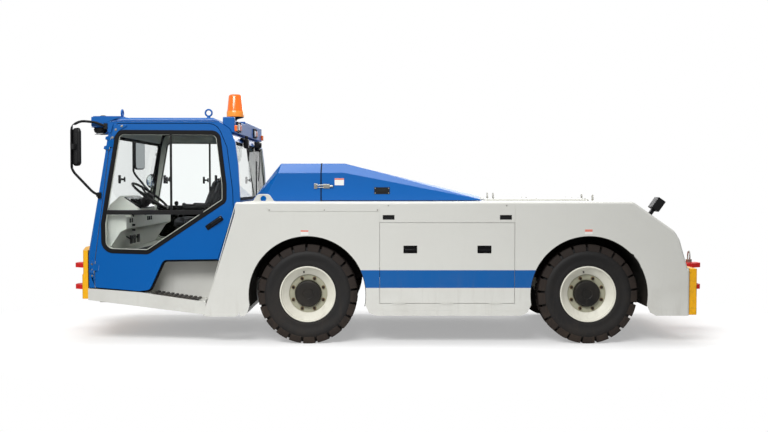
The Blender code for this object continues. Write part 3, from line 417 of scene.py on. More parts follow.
def ramp(tree, value, dark, light):
    """Map range: 0 at dark, 1 at light."""
    node = tree.nodes.new("ShaderNodeMapRange")
    node.interpolation_type = "SMOOTHSTEP"
    node.inputs["From Min"].default_value = dark
    node.inputs["From Max"].default_value = light
    tree.links.new(value, node.inputs["Value"])
    return node.outputs["Result"]


def math_node(tree, kind, first, second):
    node = tree.nodes.new("ShaderNodeMath")
    node.operation = kind
    for socket, value in zip(node.inputs, (first, second)):
        if isinstance(value, (int, float)):
            socket.default_value = value
        else:
            tree.links.new(value, socket)
    return node.outputs[0]


def blend_colour(tree, share, first, second, kind="MIX"):
    node = tree.nodes.new("ShaderNodeMix")
    node.data_type = "RGBA"
    node.blend_type = kind
    for socket, value in ((node.inputs["Factor"], share), (node.inputs["A"], first),
                          (node.inputs["B"], second)):
        if isinstance(value, (int, float, tuple)):
            socket.default_value = value
        else:
            tree.links.new(value, socket)
    return node.outputs["Result"]


def object_place(tree):
    return tree.nodes.new("ShaderNodeTexCoord").outputs["Object"]


def object_axes(tree):
    """Outputs X, Y and Z of the place on the object."""
    apart = tree.nodes.new("ShaderNodeSeparateXYZ")
    tree.links.new(object_place(tree), apart.inputs[0])
    return apart.outputs


def principled(name):
    """New material, its tree and its shader."""
    material = bpy.data.materials.new(name)
    material.use_nodes = True
    return material, material.node_tree, material.node_tree.nodes["Principled BSDF"]


def make_road_film():
    """Thin road film: heavier low down, streaked downwards, patchy."""
    tree = group("road_film",
                 [("Colour", "NodeSocketColor"), ("Film", "NodeSocketColor"), ("Amount", "NodeSocketFloat"),
                  ("Roughness", "NodeSocketFloat")],
                 [("Colour", "NodeSocketColor"), ("Roughness", "NodeSocketFloat")])
    place = object_place(tree)
    apart = tree.nodes.new("ShaderNodeSeparateXYZ")
    tree.links.new(place, apart.inputs[0])
    low_down = ramp(tree, apart.outputs["Z"], 0.95, 0.25)
    stretch = tree.nodes.new("ShaderNodeMapping")
    stretch.inputs["Scale"].default_value = (9.0, 9.0, 1.2)
    tree.links.new(place, stretch.inputs["Vector"])
    streaks = ramp(tree, noise(tree, stretch.outputs["Vector"], 1.6, 6.0, 0.6), 0.45, 0.80)
    patches = ramp(tree, noise(tree, place, 3.0, 6.0, 0.62), 0.35, 0.85)
    strength = math_node(tree, "MULTIPLY_ADD", low_down, 0.75)
    strength.node.inputs[2].default_value = 0.12
    mask = math_node(tree, "MULTIPLY", math_node(tree, "MAXIMUM", streaks, patches), strength)
    mask = math_node(tree, "MULTIPLY", mask, tree.nodes["in"].outputs["Amount"])
    colour = blend_colour(tree, mask, tree.nodes["in"].outputs["Colour"], tree.nodes["in"].outputs["Film"])
    rough = math_node(tree, "MULTIPLY_ADD", mask, 0.45)
    tree.links.new(tree.nodes["in"].outputs["Roughness"], rough.node.inputs[2])
    tree.links.new(colour, tree.nodes["out"].inputs["Colour"])
    tree.links.new(rough, tree.nodes["out"].inputs["Roughness"])
    return tree


def make_grain():
    """Fine grain or orange peel as a height, with a colour that varies a little."""
    tree = group("grain",
                 [("Colour", "NodeSocketColor"), ("Scale", "NodeSocketFloat"),
                  ("Mottle", "NodeSocketFloat")],
                 [("Colour", "NodeSocketColor"), ("Height", "NodeSocketFloat")])
    place = object_place(tree)
    fine = noise(tree, place, 100.0, 2.0, 0.5)
    tree.links.new(tree.nodes["in"].outputs["Scale"], fine.node.inputs["Scale"])
    broad = noise(tree, place, 5.0, 5.0, 0.6)
    shift = math_node(tree, "MULTIPLY", math_node(tree, "SUBTRACT", broad, 0.5),
                      tree.nodes["in"].outputs["Mottle"])
    gain = math_node(tree, "ADD", shift, 1.0)
    colour = blend_colour(tree, 1.0, tree.nodes["in"].outputs["Colour"], gain, "MULTIPLY")
    tree.links.new(colour, tree.nodes["out"].inputs["Colour"])
    tree.links.new(fine, tree.nodes["out"].inputs["Height"])
    return tree


def make_edge_wear():
    """Mask of the worn outer edges, broken up."""
    tree = group("edge_wear", [("Amount", "NodeSocketFloat")], [("Mask", "NodeSocketFloat")])
    curve = tree.nodes.new("ShaderNodeNewGeometry").outputs["Pointiness"]
    edge = ramp(tree, curve, 0.515, 0.60)
    broken = ramp(tree, noise(tree, object_place(tree), 30.0, 8.0, 0.7), 0.50, 0.62)
    mask = math_node(tree, "MULTIPLY", math_node(tree, "MULTIPLY", edge, broken),
                     tree.nodes["in"].outputs["Amount"])
    tree.links.new(mask, tree.nodes["out"].inputs["Mask"])
    return tree


ROAD_FILM, GRAIN, EDGE_WEAR = make_road_film(), make_grain(), make_edge_wear()


def use(tree, node_group, **values):
    """Place a node group in a material; a value is a number, a colour or a socket."""
    node = tree.nodes.new("ShaderNodeGroup")
    node.node_tree = node_group
    for title, value in values.items():
        if isinstance(value, (int, float, tuple)):
            node.inputs[title].default_value = value
        else:
            tree.links.new(value, node.inputs[title])
    return node.outputs


def srgb(red, green, blue):
    """Colour of 0 to 255 as linear RGBA."""
    parts = [value / 255 for value in (red, green, blue)]
    return (*[value / 12.92 if value < 0.04045 else ((value + 0.055) / 1.055) ** 2.4 for value in parts],
            1.0)


def finish(name, colour, roughness, film=0.0, grain=400.0, bump=0.02, mottle=0.06, metallic=0.0,
           wear=0.0, wear_colour=(0.25, 0.25, 0.25, 1.0), film_colour=srgb(120, 108, 92), coat=0.0,
           bump_size=0.001, shine=0.5):
    """Principled material with grain, road film and worn edges."""
    material, tree, shader = principled(name)
    shader.inputs["Metallic"].default_value = metallic
    shader.inputs["Coat Weight"].default_value = coat
    shader.inputs["Coat Roughness"].default_value = 0.06
    shader.inputs["Specular IOR Level"].default_value = shine
    grained = use(tree, GRAIN, Colour=colour, Scale=grain, Mottle=mottle)
    shade = grained["Colour"]
    if wear > 0:
        mask = use(tree, EDGE_WEAR, Amount=wear)["Mask"]
        shade = blend_colour(tree, mask, shade, wear_colour)
    filmed = use(tree, ROAD_FILM, Colour=shade, Film=film_colour, Amount=film, Roughness=roughness)
    relief = tree.nodes.new("ShaderNodeBump")
    relief.inputs["Strength"].default_value = bump
    relief.inputs["Distance"].default_value = bump_size
    tree.links.new(grained["Height"], relief.inputs["Height"])
    tree.links.new(filmed["Colour"], shader.inputs["Base Color"])
    tree.links.new(filmed["Roughness"], shader.inputs["Roughness"])
    tree.links.new(relief.outputs["Normal"], shader.inputs["Normal"])
    return material


def clear_glass(name, tint):
    material, tree, shader = principled(name)
    shader.inputs["Base Color"].default_value = tint
    shader.inputs["Transmission Weight"].default_value = 1.0
    shader.inputs["IOR"].default_value = 1.12
    film = ramp(tree, noise(tree, object_place(tree), 4.0, 6.0, 0.6), 0.5, 0.9)
    rough = math_node(tree, "MULTIPLY_ADD", film, 0.03)
    rough.node.inputs[2].default_value = 0.01
    tree.links.new(rough, shader.inputs["Roughness"])
    return material


BLUE = finish("blue_gloss_paint", srgb(0, 92, 170), 0.32, film=0.04, coat=0.18, bump=0.05, grain=350,
              mottle=0.05, shine=0.3)
WHITE = finish("white_gloss_paint", srgb(214, 214, 208), 0.34, film=0.22, coat=0.25, bump=0.05, grain=350,
               mottle=0.03)
YELLOW = finish("yellow_bumper_paint", srgb(250, 182, 14), 0.40, film=0.12, bump=0.10, grain=220,
                mottle=0.08,
                wear=0.5, wear_colour=srgb(110, 80, 40))
RED = finish("red_hitch_paint", srgb(226, 28, 24), 0.40, film=0.12, bump=0.10, grain=220, mottle=0.08,
             wear=0.6,
             wear_colour=srgb(90, 60, 50))
BLACK_STEEL = finish("black_chassis_paint", srgb(34, 34, 36), 0.55, film=0.55, bump=0.15, grain=160,
                     mottle=0.2)
BLACK_PLASTIC = finish("black_grained_plastic", srgb(16, 16, 18), 0.50, film=0.08, bump=0.35, grain=700,
                       mottle=0.1, shine=0.3)
BLACK_GLOSS = finish("black_gloss_plastic", srgb(14, 14, 16), 0.18, bump=0.02, mottle=0.05)
SEAL = finish("black_seal_rubber", srgb(13, 13, 15), 0.62, film=0.1, bump=0.3, grain=300, mottle=0.1,
              shine=0.2)
GREY_PLASTIC = finish("grey_cab_plastic", srgb(206, 211, 200), 0.50, bump=0.30, grain=600, mottle=0.05)
ZINC = finish("zinc_plated_steel", srgb(178, 176, 168), 0.36, metallic=1.0, bump=0.15, grain=260,
              mottle=0.25)
TYRE = finish("solid_tyre_rubber", srgb(22, 21, 21), 0.62, film=0.45, bump=0.5, grain=500, mottle=0.3,
              film_colour=srgb(66, 57, 48), shine=0.35)
TREAD = finish("worn_tread_rubber", srgb(44, 38, 35), 0.80, film=0.5, bump=0.6, grain=420, mottle=0.35,
               film_colour=srgb(86, 74, 62), shine=0.2)
RIM = finish("cream_rim_paint", srgb(226, 224, 210), 0.38, film=0.35, bump=0.08, grain=220, mottle=0.06)
HUB = finish("hub_ring_paint", srgb(165, 164, 142), 0.50, film=0.35, bump=0.15, grain=180, mottle=0.15)
GREASY = finish("greasy_dark_iron", srgb(26, 25, 24), 0.42, film=0.2, bump=0.4, grain=140, mottle=0.3,
                metallic=0.4)
AMBER = finish("amber_lens", srgb(255, 112, 0), 0.14, bump=0.0, mottle=0.05, coat=0.5)
RED_LENS = finish("red_lens", srgb(190, 16, 14), 0.16, bump=0.0, mottle=0.05, coat=0.5)
CLEAR_LENS = finish("clear_lens", srgb(225, 228, 230), 0.12, bump=0.0, mottle=0.05, coat=0.5)
GLASS = clear_glass("cab_glass", (0.965, 0.985, 0.98, 1.0))
MIRROR = finish("mirror_face", srgb(225, 230, 232), 0.03, metallic=1.0, bump=0.0, mottle=0.02)
SEAT_CLOTH = finish("seat_cloth", srgb(36, 36, 40), 0.92, bump=0.7, grain=900, mottle=0.2)

DASH_GREY = finish("dash_grey", srgb(206, 208, 200), 0.55, film=0.15, grain=300, bump=0.06, mottle=0.05)
DIAL = finish("dial_face", srgb(60, 64, 60), 0.35, bump=0.02, mottle=0.3)
RUST = finish("rusty_washer", srgb(120, 96, 62), 0.70, bump=0.4, grain=120, mottle=0.5)
LINER = finish("black_liner_plastic", srgb(24, 23, 20), 0.66, film=0.6, bump=0.3, grain=200, mottle=0.2,
               shine=0.25,
               film_colour=srgb(70, 62, 50))
AMBER_BAND = finish("amber_band", srgb(255, 150, 40), 0.22, bump=0.0, mottle=0.03, coat=0.4)


def between(tree, value, start, end):
    """1 where the value lies between start and end, with crisp edges."""
    above = math_node(tree, "GREATER_THAN", value, start)
    below = math_node(tree, "LESS_THAN", value, end)
    return math_node(tree, "MULTIPLY", above, below)


def over_paint(material, mask, colour):
    """Show another colour, under the road film, where the mask is 1."""
    tree = material.node_tree
    filmed = next(node for node in tree.nodes if getattr(node, "node_tree", None) == ROAD_FILM)
    shade = filmed.inputs["Colour"].links[0].from_socket
    tree.links.new(blend_colour(tree, mask, shade, colour), filmed.inputs["Colour"])
    return material


def painted_band(name, base, band, x_range, z_range):
    """Copy of a paint with a band of another colour over a stretch of X and Z."""
    material = base.copy()
    material.name = name
    tree = material.node_tree
    axes = object_axes(tree)
    mask = between(tree, axes["Z"], *z_range)
    mask = math_node(tree, "MULTIPLY", mask, between(tree, axes["X"], *x_range))
    return over_paint(material, mask, band)


STRIPED = painted_band("white_paint_blue_stripe", WHITE, srgb(0, 90, 162), (-0.45, 1.75), (0.589, 0.773))


def blank_plate():
    """White plate whose upper fifth is orange red, repeated at each height that has a plate."""
    material = finish("blank_label", srgb(232, 232, 228), 0.45, film=0.1, bump=0.02, mottle=0.03)
    tree = material.node_tree
    height, mask = object_axes(tree)["Z"], 0.0
    for start, end in ((1.172, 1.184), (1.186, 1.194), (1.709, 1.723)):
        mask = math_node(tree, "ADD", between(tree, height, start, end), mask)
    return over_paint(material, mask, srgb(222, 84, 40))


WARNING_BLANK = blank_plate()


def chevrons(base, dark, pitch):
    """Copy of a paint with slanted dark stripes that meet at the centre line, on faces that look back."""
    material = base.copy()
    material.name = "yellow_black_chevrons"
    tree = material.node_tree
    axes = object_axes(tree)
    along = math_node(tree, "ADD", math_node(tree, "ABSOLUTE", axes["Y"], 0.0), axes["Z"])
    stripe = math_node(tree, "GREATER_THAN", math_node(tree, "MODULO", along, pitch), pitch / 2)
    mask = math_node(tree, "MULTIPLY", stripe, math_node(tree, "GREATER_THAN", axes["X"], 3.192))
    return over_paint(material, mask, dark)


CHEVRON = chevrons(YELLOW, srgb(20, 20, 20), 0.26)

FINISHES = {               # slot in the record: its finishes, the plain one first
    "blue_paint": (BLUE,), "white_paint": (WHITE, STRIPED, WARNING_BLANK, DASH_GREY),
    "yellow_paint": (YELLOW, CHEVRON), "red_paint": (RED,), "rim_paint": (RIM, HUB),
    "black_steel": (BLACK_STEEL, GREASY, RUST), "bare_steel": (ZINC,), "tyre": (TYRE, TREAD),
    "black_plastic": (BLACK_PLASTIC, BLACK_GLOSS, SEAL, LINER), "grey_plastic": (GREY_PLASTIC, DIAL),
    "glass": (GLASS, CLEAR_LENS, MIRROR), "amber_lens": (AMBER, AMBER_BAND, RED_LENS),
    "seat_fabric": (SEAT_CLOTH,),
}
DONE = set()               # nodes that a modelled piece stands for


# ---- wheels --------------------------------------------------------------------
WHEELS = {                 # end and side: axle X, side of Y
    "front_left": (-0.838, -1), "front_right": (-0.838, 1),
    "rear_left": (2.076, -1), "rear_right": (2.076, 1),
}
WHEEL_Y = 1.03
AXLE_Z = middle("rim_front_left").z
TREAD_R = AXLE_Z           # the tread just touches the floor
LUGS = 21
GROOVE = 0.026             # metres between lugs at the tread


def tyre_at_origin():
    """Solid tyre with its outer side to +Z: carcass, and two rows of lugs half a pitch apart."""
    side = [(0.2925, 0.112), (0.2990, 0.1235), (0.3120, 0.1290), (0.3300, 0.1265), (0.3700, 0.1275),
            (0.3880, 0.1335), (0.4120, 0.1345), (0.4330, 0.1310), (0.4440, 0.1225), (0.4510, 0.1190),
            (0.4570, 0.0980), (TREAD_R - 0.034, 0.0800), (TREAD_R - 0.036, 0.0300)]
    profile = side + [(radius, -height) for radius, height in reversed(side)]
    carcass = lathe("tyre", profile, (0, 0, 0), (0, 0, 1), 84)
    pitch = math.tau / LUGS
    swing = pitch - GROOVE / TREAD_R
    lug_line = [(0.4440, 0.1215), (0.4560, 0.1245), (TREAD_R - 0.012, 0.1125), (TREAD_R, 0.1000),
                (TREAD_R, 0.0040), (TREAD_R - 0.036, 0.0040)]
    rows = []
    for row, flip in ((0, 1), (1, -1)):
        mesh = bpy.data.meshes.new("lug")
        start = row * pitch / 2
        mesh.from_pydata([(radius * math.cos(start), radius * math.sin(start), flip * height)
                          for radius, height in lug_line], [], [tuple(range(len(lug_line)))])
        lug = bpy.data.objects.new("lug", mesh)
        bpy.context.scene.collection.objects.link(lug)
        alone(lug)
        bpy.ops.object.mode_set(mode="EDIT")
        bpy.ops.mesh.select_all(action="SELECT")
        bpy.ops.mesh.spin(steps=3, angle=swing, center=(0, 0, 0), axis=(0, 0, 1))
        bpy.ops.mesh.select_all(action="SELECT")
        bpy.ops.mesh.normals_make_consistent(inside=False)
        bpy.ops.object.mode_set(mode="OBJECT")
        round_edges(lug, 0.0022, 1, 40)
        for number in range(1, LUGS):
            rows.append(copy_of(lug, "lug", Matrix.Rotation(pitch * number, 4, "Z")))
        rows.append(lug)
    tread = merge("tread", rows)
    even_shading(tread, 34)
    return carcass, tread


def rim_at_origin():
    """Cream rim and its khaki disc, nuts and dark hub, as pieces with the outer side to +Z."""
    half = [(0.2922, 0.108), (0.2922, 0.1225), (0.2880, 0.1270), (0.2800, 0.1270), (0.2745, 0.1215)]
    front = half + [(0.2725, 0.1060), (0.2660, 0.1010), (0.2600, 0.0980), (0.2560, 0.0900),
                    (0.2120, 0.0540), (0.2050, 0.0480), (0.2010, 0.0460), (0.2000, 0.0200)]
    back = [(0.2100, -0.0480), (0.2450, -0.0700)] + [(radius, -height) for radius, height in reversed(half)]
    rim = lathe("rim", front + back, (0, 0, 0), (0, 0, 1), 96, 0.0015)
    ring = lathe("disc", [(0.2015, 0.0300), (0.1900, 0.0315), (0.1500, 0.0315), (0.1390, 0.0240),
                          (0.1390, -0.0500), (0.2015, -0.0480)], (0, 0, 0), (0, 0, 1), 72, 0.001)
    hub = [(0.0, 0.0740), (0.0500, 0.0740), (0.0560, 0.0800), (0.1150, 0.0800), (0.1300, 0.0760),
           (0.1370, 0.0650), (0.1370, -0.0560), (0.0610, -0.0570), (0.0610, -0.0050), (0.0, -0.0050)]
    hub = lathe("hub", hub, (0, 0, 0), (0, 0, 1), 72, 0.001)
    nuts, washers = [], []
    for number in range(8):
        angle = math.tau * (number + 0.5) / 8
        spot = Vector((0.170 * math.cos(angle), 0.170 * math.sin(angle), 0.031))
        washers.append(rod("washer", spot, spot + Vector((0, 0, 0.006)), 0.0195, 20, 0.0012))
        nut = rod("nut", spot, spot + Vector((0, 0, 0.018)), 0.0135, 6, 0.0015)
        stud = rod("nut", spot, spot + Vector((0, 0, 0.027)), 0.0075, 12, 0.0012)
        nuts += [nut, stud]
    valve = Vector((0.2330, 0.043, 0.070))
    nuts.append(rod("valve", valve, valve + Vector((-0.010, -0.002, 0.020)), 0.0075, 12, 0.001))
    return {"rim": (rim, RIM), "disc": (ring, HUB), "hub": (hub, GREASY),
            "washers": (merge("washers", washers), RUST), "nuts": (merge("nuts", nuts), GREASY)}


def wheels():
    (tyre, tread), parts = tyre_at_origin(), rim_at_origin()
    for name, (axle_x, side) in WHEELS.items():
        turn = Vector((0, side, 0)).to_track_quat("Z", "X").to_matrix().to_4x4()
        place = Matrix.Translation((axle_x, side * WHEEL_Y, AXLE_Z)) @ turn
        body = "wheel_" + name
        place_piece(copy_of(tyre, "sidewall_" + name, place), TYRE, body, ("tyre_" + name,))
        place_piece(copy_of(tread, "tread_" + name, place), TREAD, body)
        for title, (piece, look) in parts.items():
            copy = copy_of(piece, f"{title}_{name}", place)
            place_piece(copy, look, body, ("rim_" + name,) if title == "rim" else ())
    for piece in [tyre, tread] + [row[0] for row in parts.values()]:
        bpy.data.objects.remove(piece, do_unlink=True)


# ---- body ----------------------------------------------------------------------
SIDE_NAME = {-1: "left", 1: "right"}
SIDE_Y = 1.20
SKIN_T = 0.012
DECK_Z = 1.48
ARCH_R = 0.608
ARCH_DIP = 10.0
TAIL = ((2.528, DECK_Z), (2.957, 1.178), (3.010, 1.093), (3.097, 0.789))
TAIL_END = (3.117, 0.789)
LOCKER = (-0.092, 1.308, 0.426, 1.266)
EDGE_ROLL = 0.024


def arch_line(axle_x, radius, dip=ARCH_DIP, steps=40):
    return arc_points((axle_x, AXLE_Z), radius, 180 + dip, -dip, steps)


def body_outline():
    line = [(-1.577, DECK_Z), (-1.585, 1.361), (-1.909, 0.313), (-1.884, 0.292)]
    line += arc_points((-1.596, 0.342), 0.05, -90, -10, 5)
    for axle_x, lead, tail in ((-0.838, None, 0.10), (2.076, 0.10, 0.09)):
        if not lead:
            line += [(axle_x - ARCH_R - 0.085, 0.292), (axle_x - ARCH_R - 0.045, 0.300),
                     (axle_x - ARCH_R - 0.014, 0.325)]
        else:
            line += [(axle_x - ARCH_R - lead, 0.30), (axle_x - ARCH_R - 0.03, 0.33)]
        line += arch_line(axle_x, ARCH_R)
        line += [(axle_x + ARCH_R + 0.03, 0.33), (axle_x + ARCH_R + tail, 0.30)]
    return line + [(3.117, 0.30), TAIL_END, *reversed(TAIL)]


def body_shell():
    """Sheet metal body: sides, deck and tail in one, edges rolled, openings and panel gaps cut."""
    shell = sheet_metal("body_shell", [body_outline()], "XZ", -SIDE_Y, SIDE_Y, 0)

    def rolled(mesh, edge):
        ends = [mesh.vertices[index].co for index in edge.vertices]
        along_top = all(end.z > DECK_Z - 0.001 for end in ends)
        along_tail = all(end.x > 2.52 and end.z > 0.78 for end in ends) or all(end.x > 3.11 for end in ends)
        return all(abs(end.y) > SIDE_Y - 0.001 for end in ends) and (along_top or along_tail)

    pick(shell, "EDGE", rolled)
    bpy.ops.mesh.bevel(offset=EDGE_ROLL, segments=5, affect="EDGES")
    bpy.ops.object.mode_set(mode="OBJECT")
    inner = SIDE_Y - SKIN_T
    under = DECK_Z - 0.02
    tail_in = [(x - 0.014, z - 0.016) for x, z in TAIL[1:-1]]
    voids = [
        block("void", (-2.5, -inner, -1), (-1.5, inner, 2), 0),
        sheet_metal("void", [[(-1.488, under), (2.515, under), *tail_in, (3.081, 0.78), (3.10, 0.2),
                              (-1.488, 0.2)]],
                    "XZ", -inner, inner, 0),
        block("void", (3.0, -inner, 0.1), (3.3, inner, 0.789), 0),
        block("void", (-1.36, -0.71, 1.3), (0.895, 0.71, 1.6), 0),
        block("void", (1.14, -0.51, 1.3), (2.11, 0.51, 1.6), 0),
    ]
    x0, x1, z0, z1 = LOCKER
    voids.append(block("void", (x0, -1.3, z0), (x1, 1.3, z1), 0))
    for side in (-1, 1):
        near, far = sorted((side * (SIDE_Y - 0.004), side * (SIDE_Y + 0.02)))
        for x in (x0, x1):
            voids.append(block("void", (x - 0.0018, near, z1 - 0.01), (x + 0.0018, far, DECK_Z + 0.01), 0))
        voids.append(block("void", (-1.248, near, 1.379), (-1.2445, far, DECK_Z + 0.01), 0))
        voids.append(block("void", (-1.248, near, 1.3775), (x0, far, 1.381), 0))
        near, far = sorted((side * (SIDE_Y - 0.05), side * (SIDE_Y + 0.02)))
        for x in (x0, x1, -1.246):
            voids.append(block("void", (x - 0.0018, min(near, far), DECK_Z - 0.004),
                               (x + 0.0018, max(near, far), DECK_Z + 0.01), 0))
        near, far = sorted((side * (SIDE_Y - 0.03), side * (SIDE_Y + 0.02)))
        voids += [block("void", (a, near, 1.2965), (b, far, 1.3425), 0) for a,
                  b in ((-0.0575, 0.0625), (1.1515, 1.2725))]
    for void in voids:
        cut_out(shell, void)
    even_shading(shell, 30)
    place_piece(shell, STRIPED, replaced=("side_panel_left", "side_panel_right", "tail_panel", "deck"))
    for side in (-1, 1):
        flange = block("front_flange", (-1.58, side * 1.125, 0.30), (-1.572, side * 1.19, 1.46), 0)
        for vert in flange.data.vertices:
            vert.co.x += (vert.co.z - 1.46) * 0.2925
        even_shading(flange)
        place_piece(flange, WHITE)
        flange.name = "front_flange_" + SIDE_NAME[side]


def arch_liners():
    for name, (axle_x, side) in WHEELS.items():
        near, far = sorted((side * 0.625, side * 1.1985))
        band = arch_line(axle_x, ARCH_R - 0.006, ARCH_DIP + 1.5)
        band += list(reversed(arch_line(axle_x, ARCH_R + 0.003, ARCH_DIP + 1.5)))
        liner = sheet_metal("arch_liner_" + name, [band], "XZ", near, far, 0)
        even_shading(liner, 25)
        place_piece(liner, LINER)
        wall = [(x, z) for x, z in arch_line(axle_x, ARCH_R, -12) if z > 0.60]
        wall = sheet_metal("arch_wall_" + name, [wall], "XZ", side * 0.604, side * 0.612, 0)
        even_shading(wall, 25)
        place_piece(wall, LINER)


def locker_doors():
    """Doors with a rolled edge, two paddle latches each, and a bottom hinge."""
    x0, x1, z0, z1 = LOCKER
    gap = 0.0045
    for side in (-1, 1):
        near, far = sorted((side * (SIDE_Y - SKIN_T), side * SIDE_Y))
        node = "locker_door_" + SIDE_NAME[side]
        door = sheet_metal("locker_panel_" + SIDE_NAME[side],
                           [soft_corners([(x0 + gap, z0 + gap, 0.006), (x1 - gap, z0 + gap, 0.006),
                                          (x1 - gap, z1 - gap, 0.006), (x0 + gap, z1 - gap, 0.006)], 3)],
                           "XZ", near, far, 0.0015)
        for a, b in ((0.156, 0.297), (0.920, 1.063)):
            cut_out(door, block("void", (a + 0.0005, near - 0.01, 0.9495),
                                (b - 0.0005, far + 0.01, 1.0265), 0))
        even_shading(door, 40)
        place_piece(door, STRIPED, node, (node,))
        folds = [block("fold", (x0 + 0.03, side * (SIDE_Y - 0.03), z),
                       (x1 - 0.03, side * (SIDE_Y - 0.011), z + 0.02), 0.002)
                 for z in (z0 + 0.03, (z0 + z1) / 2, z1 - 0.05)]
        stiff = merge("locker_stiffeners_" + SIDE_NAME[side], folds)
        place_piece(stiff, WHITE, node)
        for number, (a, b) in enumerate(((0.156, 0.297), (0.920, 1.063))):
            latch = recess("cup", (a, side * (SIDE_Y - 0.02), 0.949), (b, side * (SIDE_Y + 0.0035), 1.027),
                           0.007, 0.016, (0, side, 0))
            paddle = block("paddle", (a + 0.014, side * (SIDE_Y - 0.014), 0.958),
                           (b - 0.014, side * (SIDE_Y - 0.004), 0.988), 0.003)
            body = merge(f"paddle_latch_{SIDE_NAME[side]}_{number}", [latch, paddle])
            place_piece(body, BLACK_GLOSS, node)
        pins = []
        for x in (x0 + 0.2, (x0 + x1) / 2, x1 - 0.2):
            pins.append(rod("pin", (x - 0.068, side * (SIDE_Y + 0.0055), z0 + 0.0035),
                            (x + 0.068, side * (SIDE_Y + 0.0055), z0 + 0.0035), 0.0045, 12, 0.0006))
            pins.append(block("leaf", (x - 0.066, side * (SIDE_Y - 0.001), z0 - 0.020),
                              (x + 0.066, side * (SIDE_Y + 0.002), z0 + 0.001), 0.0008))
        place_piece(merge("locker_hinge_" + SIDE_NAME[side], pins), WHITE)
        rim = [(x0 - 0.022, z0 - 0.022), (x1 + 0.022, z0 - 0.022), (x1 + 0.022, z1 + 0.022),
               (x0 - 0.022, z1 + 0.022)]
        hole = [(x0 + 0.020, z0 + 0.020), (x1 - 0.020, z0 + 0.020), (x1 - 0.020, z1 - 0.020),
                (x0 + 0.020, z1 - 0.020)]
        near, far = sorted((side * (SIDE_Y - 0.020), side * (SIDE_Y - 0.0135)))
        lip = sheet_metal("locker_lip_" + SIDE_NAME[side], [rim, hole], "XZ", near, far, 0.0)
        place_piece(lip, WHITE)


def side_trim():
    """Recessed pulls, screws, blank plates on each side."""
    for side in (-1, 1):
        name = SIDE_NAME[side]
        for number, (a, b) in enumerate(((-0.058, 0.063), (1.151, 1.273))):
            pull = recess(f"cover_pull_{name}_{number}", (a, side * (SIDE_Y - 0.02), 1.296),
                          (b, side * (SIDE_Y + 0.002), 1.343),
                          0.006, 0.018, (0, side, 0))
            place_piece(pull, BLACK_PLASTIC)
        screws = [rod("screw", (x, side * (SIDE_Y - 0.002), z), (x, side * (SIDE_Y + 0.002), z), 0.0075,
                      16, 0.0008)
                  for x, z in ((-1.228, 1.395), (-0.112, 1.395), (-0.66, 1.395), (0.0, 1.44), (1.22, 1.44))]
        place_piece(merge("strip_screws_" + name, screws), ZINC)
        for number, (a, b, z0,
                     z1) in enumerate(((-0.905, -0.825, 1.135, 1.186), (2.029, 2.107, 1.145, 1.196))):
            plate = block(f"blank_plate_{name}_{number}", (a, side * (SIDE_Y - 0.001), z0),
                          (b, side * (SIDE_Y + 0.0012), z1), 0.0005, 1)
            place_piece(plate, WARNING_BLANK)


def deck_trim():
    """Lifting lugs, the rear hatch with its bolts, and lifting rings."""
    for side in (-1, 1):
        lug = soft_corners([(-1.409, DECK_Z - 0.004), (-1.178, DECK_Z - 0.004),
                            (-1.235, DECK_Z + 0.079, 0.045),
                            (-1.352, DECK_Z + 0.079, 0.045)], 8)
        hole = arc_points((-1.2935, DECK_Z + 0.030), 0.031, 0, 345, 23)
        plate = sheet_metal("lifting_lug_" + SIDE_NAME[side], [lug, hole], "XZ", side * 1.15 - 0.015,
                            side * 1.15 + 0.015, 0.003)
        weld = pipe("weld", [(-1.415, side * 1.15 - 0.018, DECK_Z + 0.002),
                             (-1.172, side * 1.15 - 0.018, DECK_Z + 0.002),
                             (-1.172, side * 1.15 + 0.018, DECK_Z + 0.002),
                             (-1.415, side * 1.15 + 0.018, DECK_Z + 0.002)],
                    0.005, 0.01, True)
        place_piece(merge("lifting_lug_" + SIDE_NAME[side], [plate, weld]), WHITE)
    hatch = refined("rear_hatch", WHITE, 0.004, 3)
    low_corner, high_corner = low("rear_hatch"), high("rear_hatch")
    heads = []
    for x in (low_corner.x + 0.04, middle("rear_hatch").x, high_corner.x - 0.04):
        for y in (-0.56, -0.19, 0.19, 0.56):
            heads.append(bolt("bolt", (x, y, high_corner.z - 0.0005), (0, 0, 1), 0.008, 0.006))
    place_piece(merge("hatch_bolts", heads), ZINC)
    rings = []
    for x in (1.18, 2.30):
        for y in (-0.30, 0.30):
            top = high_corner.z if x < high_corner.x else DECK_Z
            ring = lathe("ring", round_section(0.026, 0.006, 10), (x, y, top + 0.034), (1, 0, 0), 32)
            rings += [ring, rod("boss", (x, y, top), (x, y, top + 0.012), 0.014, 20, 0.002)]
    place_piece(merge("lifting_rings", rings), ZINC)


